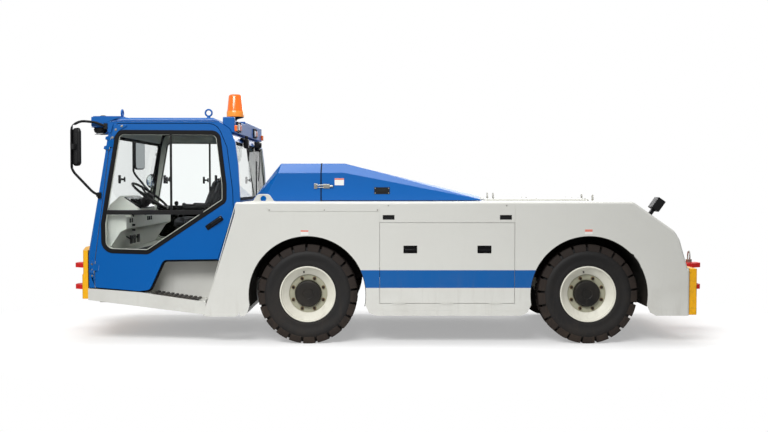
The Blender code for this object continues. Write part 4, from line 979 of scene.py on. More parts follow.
def hood_trim():
    """Rounded hood, its rubber seam, toggle latches, blank plate, handle plate."""
    for node in ("hood_front", "hood_rear"):
        refined(node, BLUE, 0.010, 4, 14)
    side_z, top_z, half, top_half = DECK_Z + 0.303, DECK_Z + 0.405, 0.80, 0.685

    def section(out):
        return [(-half - out, DECK_Z + 0.001), (-half - out, side_z + out * 0.4),
                (-top_half - out * 0.3, top_z + out),
                (top_half + out * 0.3, top_z + out), (half + out, side_z + out * 0.4),
                (half + out, DECK_Z + 0.001)]

    seam = sheet_metal("hood_seam", [section(0.003) + list(reversed(section(-0.010)))], "YZ", -0.7265,
                       -0.7135, 0.002)
    place_piece(seam, SEAL)
    for side in (-1, 1):
        name = SIDE_NAME[side]
        y = side * 0.80
        keeper = block("keeper", (-0.795, y, 1.612), (-0.760, y + side * 0.012, 1.668), 0.003)
        hook = pipe("hook", [(-0.775, y + side * 0.014, 1.652), (-0.690, y + side * 0.014, 1.652),
                             (-0.690, y + side * 0.014, 1.628), (-0.775, y + side * 0.014, 1.628)], 0.004,
                             0.006, True)
        place_piece(merge("latch_keeper_" + name, [keeper, hook]), ZINC)
        lever = block("lever", (-0.700, y, 1.616), (-0.625, y + side * 0.016, 1.664), 0.006, 3)
        knob = rod("knob", (-0.628, y + side * 0.008, 1.640), (-0.590, y + side * 0.012, 1.640), 0.013, 20,
                   0.004)
        place_piece(merge("toggle_latch_" + name, [lever, knob]), ZINC, "hood_rear")
        plate = block("hood_plate_" + name, (-0.574, y - side * 0.001, 1.650),
                      (-0.474, y + side * 0.0015, 1.725), 0.0005, 1)
        place_piece(plate, WARNING_BLANK, "hood_rear")
        near, far = sorted((y - side * 0.001, y + side * 0.004))
        grip = merge("grip", [block("plate", (-0.150, near, 1.555), (0.016, far, 1.628), 0.001),
                              block("bar", (-0.118, y, 1.572), (-0.016, y + side * 0.009, 1.611), 0.004)])
        place_piece(grip, BLACK_PLASTIC, "hood_rear")
        grip.name = "hood_grip_" + name
        screws = [rod("screw", (x, y, z), (x, y + side * 0.007, z), 0.006, 12, 0.001)
                  for x in (-0.139, 0.005) for z in (1.566, 1.617)]
        place_piece(merge("hood_grip_screws_" + name, screws), ZINC, "hood_rear")
    stay = [rod("hinge", (1.001, y - 0.07, 1.496), (1.001, y + 0.07, 1.496), 0.0085, 20,
                0.001) for y in (-0.45, 0.45)]
    stay += [block("leaf", (0.998, y - 0.068, DECK_Z - 0.002), (1.030, y + 0.068, DECK_Z + 0.006),
                   0.002) for y in (-0.45, 0.45)]
    place_piece(merge("hood_hinges", stay), BLUE)


# ---- cab -----------------------------------------------------------------------
CAB_Y = 1.12
WINDOW = ((-2.818, 2.218, 0.09), (-2.932, 1.556), (-2.982, 1.248, 0.10), (-2.979, 0.953, 0.12),
          (-2.500, 0.938, 0.08), (-1.687, 1.480, 0.07), (-1.687, 1.660), (-1.752, 2.211, 0.09))
SEAL_WIDTH = 0.045
DOOR = ((-3.055, 0.587, 0.02), (-3.053, 0.850), (-2.880, 2.122, 0.20), (-2.834, 2.287, 0.06),
        (-1.775, 2.287, 0.13),
        (-1.677, 2.042), (-1.621, 1.598, 0.30), (-1.614, 1.374, 0.10), (-1.778, 0.881, 0.02),
        (-2.345, 0.873, 0.06),
        (-2.489, 0.560, 0.05), (-2.593, 0.548))


def both_sides(name, piece, finish, body="chassis"):
    """The left piece, and its mirrored copy on the right with its own body."""
    other = copy_of(piece, f"{name}_right", ACROSS_CENTRE)
    piece.name = f"{name}_left"
    for side, one in (("left", piece), ("right", other)):
        place_piece(one, finish, body.format(side))


def ring_of(name, outline, reach_in, start, end, width):
    return sheet_metal(name, [outline, moved_out(outline, -reach_in)], "XZ", start, end, width)


def lined(piece, finish, faces_in):
    """Second finish on the faces that the test wants."""
    piece.data.materials.append(finish)
    for face in piece.data.polygons:
        if faces_in(face.center, face.normal):
            face.material_index = 1


def inner_side(centre, normal):
    across = abs(centre.y) > 1.0 and normal.y * centre.y < -0.6
    return across or (normal.x > 0.5 and centre.x < -2.75) or (normal.x < -0.5 and centre.x > -1.75) \
        or (normal.z < -0.7 and centre.z > 2.0)


def rolled_edges(node, width):
    """Round the cab's outer front and roof edges on both sides of a node's copy."""
    def outer(mesh, edge):
        ends = [mesh.vertices[index].co for index in edge.vertices]
        if not all(abs(end.y) > CAB_Y - 0.0045 for end in ends) or ends[0].y * ends[1].y < 0:
            return False
        front = all(abs(end.x - (-3.125 + max(0.0, end.z - 0.95) * 0.18)) < 0.002 for end in ends)
        top = all(end.z > (2.350 if node == "cab_roof" else 2.321) for end in ends)
        return front or (top and (node == "cab_roof" or abs(ends[0].x - ends[1].x) < 0.05))

    piece = refined(node, BLUE, 0.0)
    pick(piece, "EDGE", outer)
    bpy.ops.mesh.bevel(offset=width, segments=5, affect="EDGES")
    bpy.ops.object.mode_set(mode="OBJECT")
    round_edges(piece, 0.004, 2, 40)
    return piece


def cab_shell():
    for node in ("cab_frame", "cab_roof", "roof_front_carrier", "rear_lamp_carrier"):
        if node in ("cab_frame", "cab_roof"):
            piece = rolled_edges(node, 0.024)
        else:
            piece = refined(node, BLUE, 0.009, 3, 40)
        if node in ("cab_frame", "cab_roof"):
            lined(piece, GREY_PLASTIC, lambda centre,
                  normal: centre.z < 2.33 and inner_side(centre, normal))
    for side in ("left", "right"):
        piece = refined("door_" + side, BLUE, 0.003, 2, 40)
        lined(piece, GREY_PLASTIC, inner_side)
    outline = soft_corners(WINDOW, 8)
    seal = ring_of("seal", moved_out(outline, 0.007), SEAL_WIDTH, -CAB_Y - 0.006, -CAB_Y + 0.030, 0.004)
    both_sides("window_seal", seal, SEAL, "door_{}")
    bead = ring_of("bead", moved_out(outline, 0.007 - SEAL_WIDTH), 0.006, -CAB_Y + 0.004, -CAB_Y + 0.020,
                   0.001)
    both_sides("window_bead", bead, GREY_PLASTIC, "door_{}")
    bars = [block("bar", (-2.945, -CAB_Y - 0.002, 1.345), (-1.925, -CAB_Y + 0.022, 1.392), 0.003),
            block("bar", (-2.269, -CAB_Y + 0.001, 1.38), (-2.247, -CAB_Y + 0.020, 2.195), 0.002)]
    trim = ring_of("trim", moved_out(outline, 0.007), 0.038, -CAB_Y + 0.030, -CAB_Y + 0.041, 0.002)
    both_sides("window_trim", trim, GREY_PLASTIC, "door_{}")
    gasket = ring_of("gasket", moved_out(soft_corners(DOOR, 6), 0.022), 0.036, -CAB_Y + 0.0412,
                     -CAB_Y + 0.050, 0.002)
    both_sides("door_gasket", gasket, SEAL)
    both_sides("window_bars", merge("bars", bars), BLACK_PLASTIC, "door_{}")
    knobs = []
    for x in (-2.800, -1.796, -2.330):
        knobs += [block("knob", (x - 0.013, -CAB_Y + 0.024, 1.668), (x + 0.013, -CAB_Y + 0.050, 1.756),
                        0.006),
                  rod("knob", (x, -CAB_Y + 0.036, 1.712), (x + 0.052, -CAB_Y + 0.036, 1.712), 0.011, 16,
                      0.002),
                  block("knob", (x + 0.045, -CAB_Y + 0.022, 1.686), (x + 0.060, -CAB_Y + 0.050, 1.738),
                        0.005)]
    both_sides("window_catches", merge("knobs", knobs), BLACK_GLOSS, "door_{}")


def door_fittings():
    along = (Vector((-1.731, 0, 1.314)) - Vector((-1.883, 0, 1.211))).normalized()
    up = Vector((-along.z, 0, along.x))

    def slanted(start, end, low_edge, high_edge, y0, y1, width):
        corners = [Vector((-1.883, 0, 1.211)) + along * a + up * b for a, b in
                   ((start, low_edge), (end, low_edge), (end, high_edge), (start, high_edge))]
        outline = soft_corners([(corner.x, corner.z, 0.012) for corner in corners], 4)
        return sheet_metal("handle", [outline], "XZ", -CAB_Y - y1, -CAB_Y - y0, width)

    plate = slanted(-0.012, 0.190, -0.030, 0.026, -0.002, 0.006, 0.002)
    grip = slanted(0.045, 0.182, -0.016, 0.014, 0.018, 0.034, 0.006)
    posts = [slanted(0.050, 0.075, -0.010, 0.010, 0.004, 0.020, 0.002),
             slanted(0.155, 0.178, -0.010, 0.010, 0.004, 0.020, 0.002)]
    lock = Vector((-1.883, 0, 1.211)) + along * 0.018
    key = rod("lock", (lock.x, -CAB_Y - 0.010, lock.z), (lock.x, -CAB_Y, lock.z), 0.012, 20, 0.002)
    both_sides("door_handle", merge("handle", [plate, grip, key, *posts]), BLACK_GLOSS, "door_{}")
    leaf = block("leaf", (-3.103, -CAB_Y - 0.006, 0.690), (-3.0625, -CAB_Y, 0.845), 0.003)
    both_sides("hinge_leaf", leaf, BLUE)
    screws = [bolt("screw", (-3.084, -CAB_Y - 0.005, z), (0, -1, 0), 0.008, 0.007) for z in (0.708, 0.768,
                                                                                             0.830)]
    both_sides("hinge_screws", merge("screws", screws), ZINC)


def corner_brackets():
    """Bolted plates at the cab's top front corners: one part on the frame, one on the door."""
    on_frame = [(-3.076, 2.357), (-2.928, 2.353), (-2.874, 2.304), (-2.846, 2.2945), (-2.867, 2.222),
                (-2.886, 2.165),
                (-2.898, 2.200), (-2.916, 2.230), (-2.965, 2.258), (-3.076, 2.258)]
    on_door = [(-2.836, 2.281), (-2.714, 2.281), (-2.704, 2.262), (-2.752, 2.239), (-2.801, 2.205),
               (-2.834, 2.157),
               (-2.852, 2.107), (-2.874, 2.111), (-2.871, 2.165), (-2.850, 2.235)]
    for title, outline, body in (("bracket", on_frame, "chassis"), ("bracket_foot", on_door, "door_{}")):
        plate = sheet_metal(title, [soft_corners([(x, z, 0.012) for x, z in outline], 3)], "XZ",
                            -CAB_Y - 0.010, -CAB_Y - 0.0004, 0.003)
        both_sides(title, plate, BLUE, body)
    heads = [bolt("bolt", (x, -CAB_Y - 0.010, z), (0, -1, 0), 0.009, 0.008)
             for x, z in ((-2.760, 2.262), (-2.822, 2.226), (-2.856, 2.144))]
    both_sides("bracket_bolts", merge("bolts", heads), ZINC, "door_{}")
    flanges = [block("flange", (-3.078, -1.118, z), (-2.955, -1.00, z + 0.008),
                     0.002) for z in (2.250, 2.352)]
    both_sides("bracket_flanges", merge("flanges", flanges), BLUE)
    lamp = lathe("lamp", [(0.0, 0.0), (0.062, 0.0), (0.070, 0.010), (0.066, 0.040), (0.045, 0.060),
                          (0.0, 0.066)],
                 (-3.005, -1.045, 2.252), (0.10, 0, -1), 40)
    both_sides("front_lamp", lamp, BLACK_PLASTIC)
    face = lathe("glass", [(0.0, 0.0), (0.050, 0.0), (0.054, 0.004), (0.0, 0.006)],
                 (-3.012, -1.045, 2.188), (0.10, 0, -1), 40)
    both_sides("front_lamp_glass", face, CLEAR_LENS)
    cap = lathe("cap", [(0.0, 0.0), (0.045, 0.0), (0.040, 0.012), (0.020, 0.020), (0.0, 0.022)],
                (-2.975, -1.045, 2.358), (0, 0, 1), 32)
    both_sides("bracket_cap", cap, BLACK_PLASTIC)


def roof_fittings():
    top = 2.351
    eyes = []
    for x, y, across in ((-2.782, -1.02, (1, 0, 0)), (-1.872, -1.06, (0, 1, 0))):
        ring = lathe("eye", round_section(0.034, 0.009, 10), (x, y, top + 0.052), across, 36)
        collar = rod("collar", (x, y, top + 0.002), (x, y, top + 0.020), 0.018, 24, 0.003)
        eyes += [ring, collar]
    eyes.append(block("plate", (-2.912, -1.09, top), (-2.735, -0.97, top + 0.010), 0.003))
    both_sides("lifting_eyes", merge("eyes", eyes), BLUE)
    heads = [bolt("bolt", (x, -1.06, top + 0.010), (0, 0, 1), 0.010, 0.009) for x in (-2.885, -2.845)]
    both_sides("eye_bolts", merge("bolts", heads), ZINC)
    ribs = [block("rib", (-2.80, y - 0.03, top - 0.002), (-1.84, y + 0.03, top + 0.008), 0.006, 3)
            for y in (-0.66, -0.22, 0.22, 0.66)]
    place_piece(merge("roof_ribs", ribs), BLUE)
    gutter = block("gutter", (-2.880, -CAB_Y - 0.006, 2.308), (-1.775, -CAB_Y + 0.002, 2.316), 0.003)
    both_sides("gutter", gutter, BLUE)


def glazing():
    """Clear panes, with black seals on the windscreen and the rear window."""
    for node in ("door_left_glass", "door_right_glass", "windscreen", "rear_window"):
        refined(node, GLASS, 0.0, name=node + "_pane")
    for node, facing in (("windscreen", -1), ("rear_window", 1)):
        corner, far = low(node), high(node)
        bottom = Vector((corner.x if facing < 0 else far.x, 0, corner.z))
        top = Vector((far.x if facing < 0 else corner.x, 0, far.z))
        half = far.y
        lean = (top - bottom).normalized()
        out = Vector((-lean.z, 0, lean.x)) if facing < 0 else Vector((lean.z, 0, -lean.x))
        length = (top - bottom).length
        frame_line = soft_corners([(-half, 0, 0.06), (half, 0, 0.06), (half, length, 0.06),
                                   (-half, length, 0.06)], 6)
        seal = sheet_metal(node + "_seal", [moved_out(frame_line, 0.004), moved_out(frame_line, -0.032)],
                           "XY", -0.010, 0.006, 0.003)
        turn = Matrix(((0, lean.x, out.x, bottom.x), (1, lean.y, out.y, 0), (0, lean.z, out.z, bottom.z),
                       (0, 0, 0, 1)))
        seal.data.transform(turn)
        if turn.determinant() < 0:
            seal.data.flip_normals()
        place_piece(seal, SEAL)


def cab_floor():
    base = refined("cab_base", WHITE, 0.009, 4, 30)
    for side in (-1, 1):
        near, far = sorted((side * 0.875, side * 1.30))
        cut_out(base, block("void", (-1.955, near, 0.452), (-1.50, far, 0.872), 0))
        near, far = sorted((side * 0.862, side * 0.874))
        wall = block("step_wall_" + SIDE_NAME[side], (-2.600, near, 0.450), (-1.570, far, 0.872), 0.001)
        place_piece(wall, WHITE)
    even_shading(base, 40)
    ribs = [block("plate", (-2.469, -1.108, 0.5335), (-2.000, -0.885, 0.5395), 0.001)]
    for number in range(10):
        x = -2.455 + number * 0.049
        ribs.append(sheet_metal("rib", [[(x, 0.539), (x + 0.034, 0.539), (x + 0.029, 0.551),
                                         (x + 0.005, 0.551)]],
                                "XZ", -1.106, -0.887, 0.001))
    grate = merge("grate", ribs)
    slope = math.atan2(0.438 - 0.5365, 0.67)
    grate.data.transform(Matrix.Translation((-2.590, 0, 0.5365)) @ Matrix.Rotation(-slope, 4, "Y")
                         @ Matrix.Translation((2.590, 0, -0.5365)))
    both_sides("step_grate", grate, BLACK_STEEL)
    mat = block("floor_mat", (-2.72, -1.02, 0.9505), (-1.70, 1.02, 0.960), 0.003)
    place_piece(mat, SEAL)


def interior():
    """Dash with its slanted panel and switches, column, wheel, levers and pedals."""
    dash = refined("dashboard", DASH_GREY, 0.012, 4, 25)
    lean = (Vector((-2.636, 0, 1.400)) - Vector((-2.825, 0, 1.524))).normalized()
    hood = sheet_metal("instrument_hood",
                       [soft_corners([(-2.990, 1.336), (-2.975, 1.440, 0.05), (-2.858, 1.541, 0.02),
                                      (-2.650, 1.398, 0.015), (-2.690, 1.336)], 4)], "XZ", -0.86, -0.14,
                                      0.014, 4)
    place_piece(hood, DASH_GREY)
    panel = block("panel", (-0.5, -0.36, -0.006), (0.5, 0.36, 0.010), 0.004)
    panel.data.transform(Matrix.Diagonal((0.210, 0.92, 1, 1)))
    normal = Vector((-lean.z, 0, lean.x))
    seat = Matrix(((lean.x, 0, normal.x, -2.738), (0, 1, 0, -0.50), (lean.z, 0, normal.z, 1.462),
                   (0, 0, 0, 1)))
    fittings = [panel]
    for y, radius in ((-0.22, 0.045), (-0.09, 0.036), (0.06, 0.036), (0.20, 0.045)):
        fittings.append(lathe("gauge", [(radius - 0.008, 0.0), (radius, 0.0), (radius, 0.016),
                                        (radius - 0.006, 0.018),
                                        (radius - 0.008, 0.012)], (-0.01, y, 0.008), (0, 0, 1), 36))
    cluster = merge("instrument_panel", fittings)
    cluster.data.transform(seat)
    place_piece(cluster, BLACK_GLOSS)
    dials = merge("dials", [rod("dial", (-0.01, y, 0.006), (-0.01, y, 0.0125), radius, 32, 0.0005)
                            for y, radius in ((-0.22, 0.036), (-0.09, 0.027), (0.06, 0.027),
                                              (0.20, 0.036))])
    dials.data.transform(seat)
    place_piece(dials, DIAL)
    legs = [block("leg", (-2.79, y - 0.02, 1.31), (-2.74, y + 0.02, 1.45), 0.004) for y in (-0.76, -0.24)]
    place_piece(merge("panel_legs", legs), BLACK_PLASTIC)
    switches = []
    for y in (-0.90, -0.82, -0.14, -0.06, 0.02):
        switches.append(block("rocker", (-2.747, y - 0.016, 1.252), (-2.735, y + 0.016, 1.300), 0.004))
    for z in (1.225, 1.170):
        switches.append(rod("key", (-2.75, -0.80, z), (-2.715, -0.80, z), 0.011, 20, 0.002))
    place_piece(merge("dash_switches", switches), BLACK_PLASTIC)
    refined("steering_column", BLACK_PLASTIC, 0.006, 3, 30)
    stalk = [pipe("stalk", [(-2.665, -0.5, 1.485), (-2.640, -0.64, 1.520), (-2.635, -0.69, 1.530)], 0.007,
                  0.03),
             pipe("stalk", [(-2.665, -0.5, 1.485), (-2.640, -0.36, 1.520), (-2.635, -0.31, 1.530)], 0.007,
                  0.03)]
    shroud = lathe("shroud", [(0.0, -0.19), (0.045, -0.19), (0.055, -0.06), (0.050, -0.030), (0.0, -0.028)],
                   (-2.627, -0.5, 1.534), (0.596225, 0, 0.802817), 40)
    place_piece(merge("column_shroud", [shroud, *stalk]), BLACK_PLASTIC)
    axis = Vector((0.596225, 0, 0.802817))
    side = Vector((0, 1, 0))
    front = side.cross(axis)
    hub = Vector((-2.627, -0.5, 1.534))
    ring = lathe("rim", round_section(0.228, 0.0135, 14), hub, axis, 84)
    spokes = []
    for degrees in (0, 135, 225):
        angle = math.radians(degrees)
        way = side * math.sin(angle) + front * math.cos(angle)
        spokes.append(pipe("spoke", [hub - axis * 0.012 + way * 0.03, hub - axis * 0.014 + way * 0.13,
                                     hub + way * 0.226], 0.011, 0.05, sides=3))
    boss = lathe("boss", [(0.0, 0.020), (0.036, 0.020), (0.048, 0.010), (0.052, -0.020), (0.0, -0.026)],
                 hub, axis, 48)
    wheel = merge("steering_rim", [ring, boss, *spokes])
    place_piece(wheel, BLACK_PLASTIC, "steering_wheel", ("steering_wheel",))
    levers = []
    for y, z, lean_x in ((-0.16, 1.42, -0.05), (-0.08, 1.40, 0.02)):
        levers.append(pipe("lever", [(-2.36, y, 0.96), (-2.36, y, 1.10), (-2.36 + lean_x, y, z)], 0.008,
                           0.05))
        levers.append(lathe("knob", [(0.0, 0.030), (0.018, 0.024), (0.024, 0.006), (0.018, -0.016),
                                     (0.008, -0.024), (0.0, -0.024)],
                            (-2.36 + lean_x, y, z + 0.02), (0, 0, 1), 24))
    foot = block("box", (-2.46, -0.22, 0.951), (-2.26, -0.02, 1.04), 0.010, 3)
    place_piece(merge("gear_levers", levers + [foot]), BLACK_PLASTIC)
    pedals = []
    for y in (-0.66, -0.52, -0.36):
        pedals.append(block("pad", (-2.80, y - 0.045, 1.015), (-2.787, y + 0.045, 1.105), 0.004))
        pedals.append(pipe("arm", [(-2.795, y, 1.06), (-2.86, y, 1.10), (-2.90, y, 1.19)], 0.008, 0.03))
    place_piece(merge("pedals", pedals), BLACK_STEEL)


def mirrors():
    for side in ("left", "right"):
        node = "mirror_" + side
        arms = refined(node, BLACK_PLASTIC, 0.0, name=node + "_arms")
        cut_out(arms, block("void", (-3.246, -2, 1.82), (-3.10, 2, 2.27), 0))
        even_shading(arms, 50)
    turn = Matrix.Translation((-3.185, -1.235, 2.043)) @ Matrix.Rotation(math.radians(38), 4, "Z")
    outline = soft_corners([(-0.082, -0.195, 0.045), (0.082, -0.195, 0.045), (0.082, 0.195, 0.045),
                            (-0.082, 0.195, 0.045)], 6)
    head = sheet_metal("head", [outline], "YZ", -0.030, 0.012, 0.020, 5)
    clip = block("clip", (-0.058, -0.030, -0.03), (-0.020, 0.030, 0.03), 0.006)
    head = merge("head", [head, clip])
    pane = sheet_metal("pane", [moved_out(outline, -0.014)], "YZ", 0.010, 0.0135, 0.001)
    for piece in (head, pane):
        piece.data.transform(turn)
    both_sides("mirror_head", head, BLACK_PLASTIC)
    both_sides("mirror_glass", pane, MIRROR)
    clamps = [rod("clamp", (-3.008, -1.150, 1.530), (-3.008, -1.150, 1.566), 0.015, 20, 0.003),
              block("pad", (-3.028, -1.148, 1.532), (-2.990, -1.119, 1.562), 0.003)]
    both_sides("mirror_clamp", merge("clamps", clamps), BLACK_PLASTIC)


# ---- seat ----------------------------------------------------------------------
SEAT_MIDDLE_Y = -0.5


def gathered(place, seams, start, end, axis):
    """How far a sewn channel pulls a point in, from its distance to the nearest seam."""
    pull = 0.0
    for seam in seams:
        away = abs(place[axis] - seam)
        if away < end:
            pull = max(pull, math.exp(-(away / start) ** 2))
    return pull


def padded_piece(node, cap, shrink, seams, rests_below):
    """Cushion blown up by a cloth simulation from a smaller shape, then sewn down along its channels."""
    piece = copy_of(frame["nodes"][node], node + "_pad")
    piece.parent = None
    box_low, box_high = low(node), high(node)
    centre = (box_low + box_high) / 2
    size = box_high - box_low
    change = Matrix.Translation(centre) @ Matrix.Diagonal((*[1 - 2 * shrink / span for span in size],
                                                           1.0)) \
        @ Matrix.Translation(-centre)
    piece.data.transform(change)
    clean(piece, merge_by=0.00002, flat=0.4)
    round_edges(piece, 0.016, 3, 30)
    remesh = piece.modifiers.new("even", "REMESH")
    remesh.mode = "VOXEL"
    remesh.voxel_size = 0.006
    apply_all(piece)
    start = [vert.co.copy() for vert in piece.data.vertices]
    cloth = piece.modifiers.new("fill", "CLOTH")
    cloth.settings.use_pressure = True
    cloth.settings.uniform_pressure_force = 4.0
    cloth.settings.effector_weights.gravity = 0.0
    cloth.point_cache.frame_start, cloth.point_cache.frame_end = 1, 20
    for number in range(1, 21):
        bpy.context.scene.frame_set(number)
    shaped = piece.evaluated_get(bpy.context.evaluated_depsgraph_get())
    moved = [vert.co.copy() for vert in shaped.data.vertices]
    piece.modifiers.remove(cloth)
    bpy.context.scene.frame_set(1)
    for vert, here, there in zip(piece.data.vertices, start, moved):
        step = there - here
        if step.length > cap:
            step = step.normalized() * cap
        vert.co = here + step
    smooth = piece.modifiers.new("finer", "SUBSURF")
    smooth.levels = smooth.render_levels = 1
    apply_all(piece)
    for vert in piece.data.vertices:
        place = vert.co.copy()
        inwards = (centre - place).normalized()
        pull = 0.011 * gathered(place, seams, 0.006, 0.03, 1)
        place += inwards * pull
        for axis in range(3):
            place[axis] = min(max(place[axis], box_low[axis] + 0.0004), box_high[axis] - 0.0004)
        if rests_below:
            place.z = max(place.z, box_low.z + 0.0006)
        vert.co = place
    bpy.ops.object.shade_smooth()
    return piece


def seat():
    cushion = padded_piece("seat_cushion", 0.024, 0.010,
                           (SEAT_MIDDLE_Y - 0.13, SEAT_MIDDLE_Y, SEAT_MIDDLE_Y + 0.13), True)
    back = padded_piece("seat_back", 0.022, 0.010, (SEAT_MIDDLE_Y - 0.13, SEAT_MIDDLE_Y + 0.13), False)
    for node, piece, fill in (("seat_cushion", cushion, 0.7), ("seat_back", back, 0.7)):
        place_piece(piece, SEAT_CLOTH, BODY_OF[node], (node,))
    bellows = [block("foot", (-2.30, -0.70, 0.951), (-1.86, -0.30, 0.985), 0.010, 3)]
    for number in range(6):
        z = 0.985 + number * 0.026
        bellows.append(block("fold", (-2.285 + 0.006 * (number % 2), -0.688, z),
                             (-1.872, -0.312, z + 0.024), 0.010, 3))
    bellows.append(block("pan", (-2.31, -0.71, 1.140), (-1.86, -0.29, 1.178), 0.008, 3))
    place_piece(merge("seat_bellows", bellows), BLACK_PLASTIC, replaced=("seat_base",))
    arms = []
    for y in (SEAT_MIDDLE_Y - 0.285, SEAT_MIDDLE_Y + 0.285):
        arms.append(sheet_metal("pad", [soft_corners([(-2.215, 1.402, 0.02), (-1.930, 1.392, 0.01),
                                                      (-1.925, 1.440, 0.01),
                                                      (-2.205, 1.452, 0.022)], 5)], "XZ", y - 0.028,
                                                      y + 0.028, 0.010, 4))
        arms.append(rod("pivot", (-1.935, y - 0.03, 1.418), (-1.935, y + 0.03, 1.418), 0.026, 24, 0.004))
        arms.append(pipe("stay", [(-1.935, y * 0.97 + SEAT_MIDDLE_Y * 0.03, 1.418),
                                  (-1.93, y * 0.94 + SEAT_MIDDLE_Y * 0.06, 1.30),
                                  (-1.95, y * 0.9 + SEAT_MIDDLE_Y * 0.1, 1.17)], 0.010, 0.04))
    place_piece(merge("armrests", arms), BLACK_PLASTIC)


# ---- beacon, lamps, wiper ------------------------------------------------------
def beacon():
    spot = middle("beacon")
    top = high("beacon").z
    lens = lathe("lens", [(0.0, 2.404), (0.076, 2.404), (0.088, 2.452), (0.0855, 2.456), (0.0700, 2.606),
                          (0.0640, 2.619),
                          (0.050, top), (0.0, top)], (spot.x, spot.y, 0), (0, 0, 1), 64)
    place_piece(lens, AMBER, replaced=("beacon",))
    lens.name = "beacon_lens"
    band = lathe("beacon_band",
                 [(0.084, 2.384), (0.0925, 2.386), (0.0925, 2.436), (0.0885, 2.449), (0.084, 2.449)],
                 (spot.x, spot.y, 0), (0, 0, 1), 64)
    place_piece(band, AMBER_BAND)
    foot = lathe("beacon_foot",
                 [(0.0, 2.330), (0.040, 2.330), (0.040, 2.336), (0.017, 2.338), (0.017, 2.356),
                  (0.030, 2.362),
                  (0.086, 2.378), (0.091, 2.385), (0.0, 2.385)], (spot.x, spot.y, 0), (0, 0, 1), 48)
    place_piece(foot, BLACK_PLASTIC)


def roof_lamps():
    rear_x = high("rear_lamp_carrier").x
    amber = merge("side_lamps",
                  [block("lamp", (rear_x - 0.002, y - 0.030, 2.212), (rear_x + 0.024, y + 0.030, 2.274),
                         0.006, 3)
                   for y in (-1.068, 1.068)])
    place_piece(amber, AMBER)
    boxes, reds, whites = [], [], []
    for y in (-0.86, 0.42):
        boxes.append(recess("box", (rear_x - 0.002, y - 0.115, 2.212), (rear_x + 0.016, y + 0.115, 2.318),
                            0.010, 0.008, (1, 0, 0)))
        reds.append(block("red", (rear_x + 0.004, y + 0.005, 2.226), (rear_x + 0.030, y + 0.090, 2.292),
                          0.006, 3))
        whites.append(block("white", (rear_x + 0.004, y - 0.090, 2.226),
                            (rear_x + 0.026, y - 0.002, 2.292), 0.006, 3))
    place_piece(merge("lamp_boxes", boxes), BLACK_PLASTIC)
    place_piece(merge("tail_lamps", reds), RED_LENS)
    place_piece(merge("reverse_lamps", whites), CLEAR_LENS)


def rear_window_fittings():
    x = -1.560
    motor = [block("motor", (x - 0.030, 0.34, 2.085), (x + 0.028, 0.47, 2.168), 0.012, 3),
             rod("drum", (x + 0.002, 0.385, 2.125), (x + 0.052, 0.385, 2.125), 0.030, 28, 0.006),
             rod("spindle", (x + 0.02, 0.405, 2.060), (x + 0.036, 0.405, 2.060), 0.015, 20, 0.003),
             block("stay", (x - 0.03, 0.392, 2.05), (x + 0.02, 0.418, 2.12), 0.003)]
    arm = pipe("arm", [(x + 0.030, 0.405, 2.060), (x + 0.040, 0.33, 1.95), (x + 0.044, 0.16, 1.70)], 0.006,
               0.05)
    blade = block("blade", (x + 0.012, 0.150, 1.52), (x + 0.026, 0.164, 1.93), 0.003)
    place_piece(merge("wiper", [*motor, arm, blade]), BLACK_PLASTIC)
    looms = [block("junction", (x - 0.024, -0.545, 2.055), (x + 0.024, -0.435, 2.155), 0.008, 3),
             rod("gland", (x, -0.52, 2.150), (x, -0.52, 2.190), 0.014, 20, 0.002),
             rod("gland", (x, -0.46, 2.150), (x, -0.46, 2.190), 0.014, 20, 0.002),
             block("stay", (x - 0.045, -0.66, 2.140), (x - 0.005, -0.33, 2.165), 0.004)]
    for start_y, end_y, deep, reach in ((-0.53, -0.45, 1.905, 0.016), (-0.50, -0.60, 1.885, 0.022),
                                        (-0.46, -0.37, 1.960, 0.010)):
        points = [(x + 0.005, start_y, 2.065), (x + reach, start_y - 0.012, 1.99),
                  (x + reach + 0.006, (start_y + end_y) / 2, deep),
                  (x + reach, end_y + 0.01, 2.00), (x + 0.004, end_y, 2.150)]
        looms.append(pipe("wire", points, 0.0038, 0.06))
    place_piece(merge("lamp_wiring", looms), BLACK_PLASTIC)


def work_lamp():
    """Square work lamp in a U bracket on the tail slope."""
    refined("rear_work_lamp", BLACK_PLASTIC, 0.008, 3, 40)


def far_mirror():
    """Round mirror on the right front pillar."""
    spot = Vector((-2.985, 1.045, 1.700))
    facing = Vector((0.80, -0.60, 0))
    shell = lathe("round_mirror",
                  [(0.0, -0.030), (0.050, -0.024), (0.086, -0.006), (0.091, 0.004), (0.086, 0.006),
                   (0.0, 0.006)],
                  spot, facing, 48)
    stem = pipe("stem", [spot - facing * 0.02, spot - facing * 0.05 + Vector((0, 0, 0.02)),
                         (-3.010, 1.080, 1.76)], 0.007, 0.02)
    place_piece(merge("round_mirror", [shell, stem]), BLACK_PLASTIC)
    pane = lathe("round_mirror_glass",
                 [(0.0, 0.010), (0.050, 0.0085), (0.084, 0.0062), (0.084, 0.004), (0.0, 0.004)], spot,
                 facing, 48)
    place_piece(pane, MIRROR)


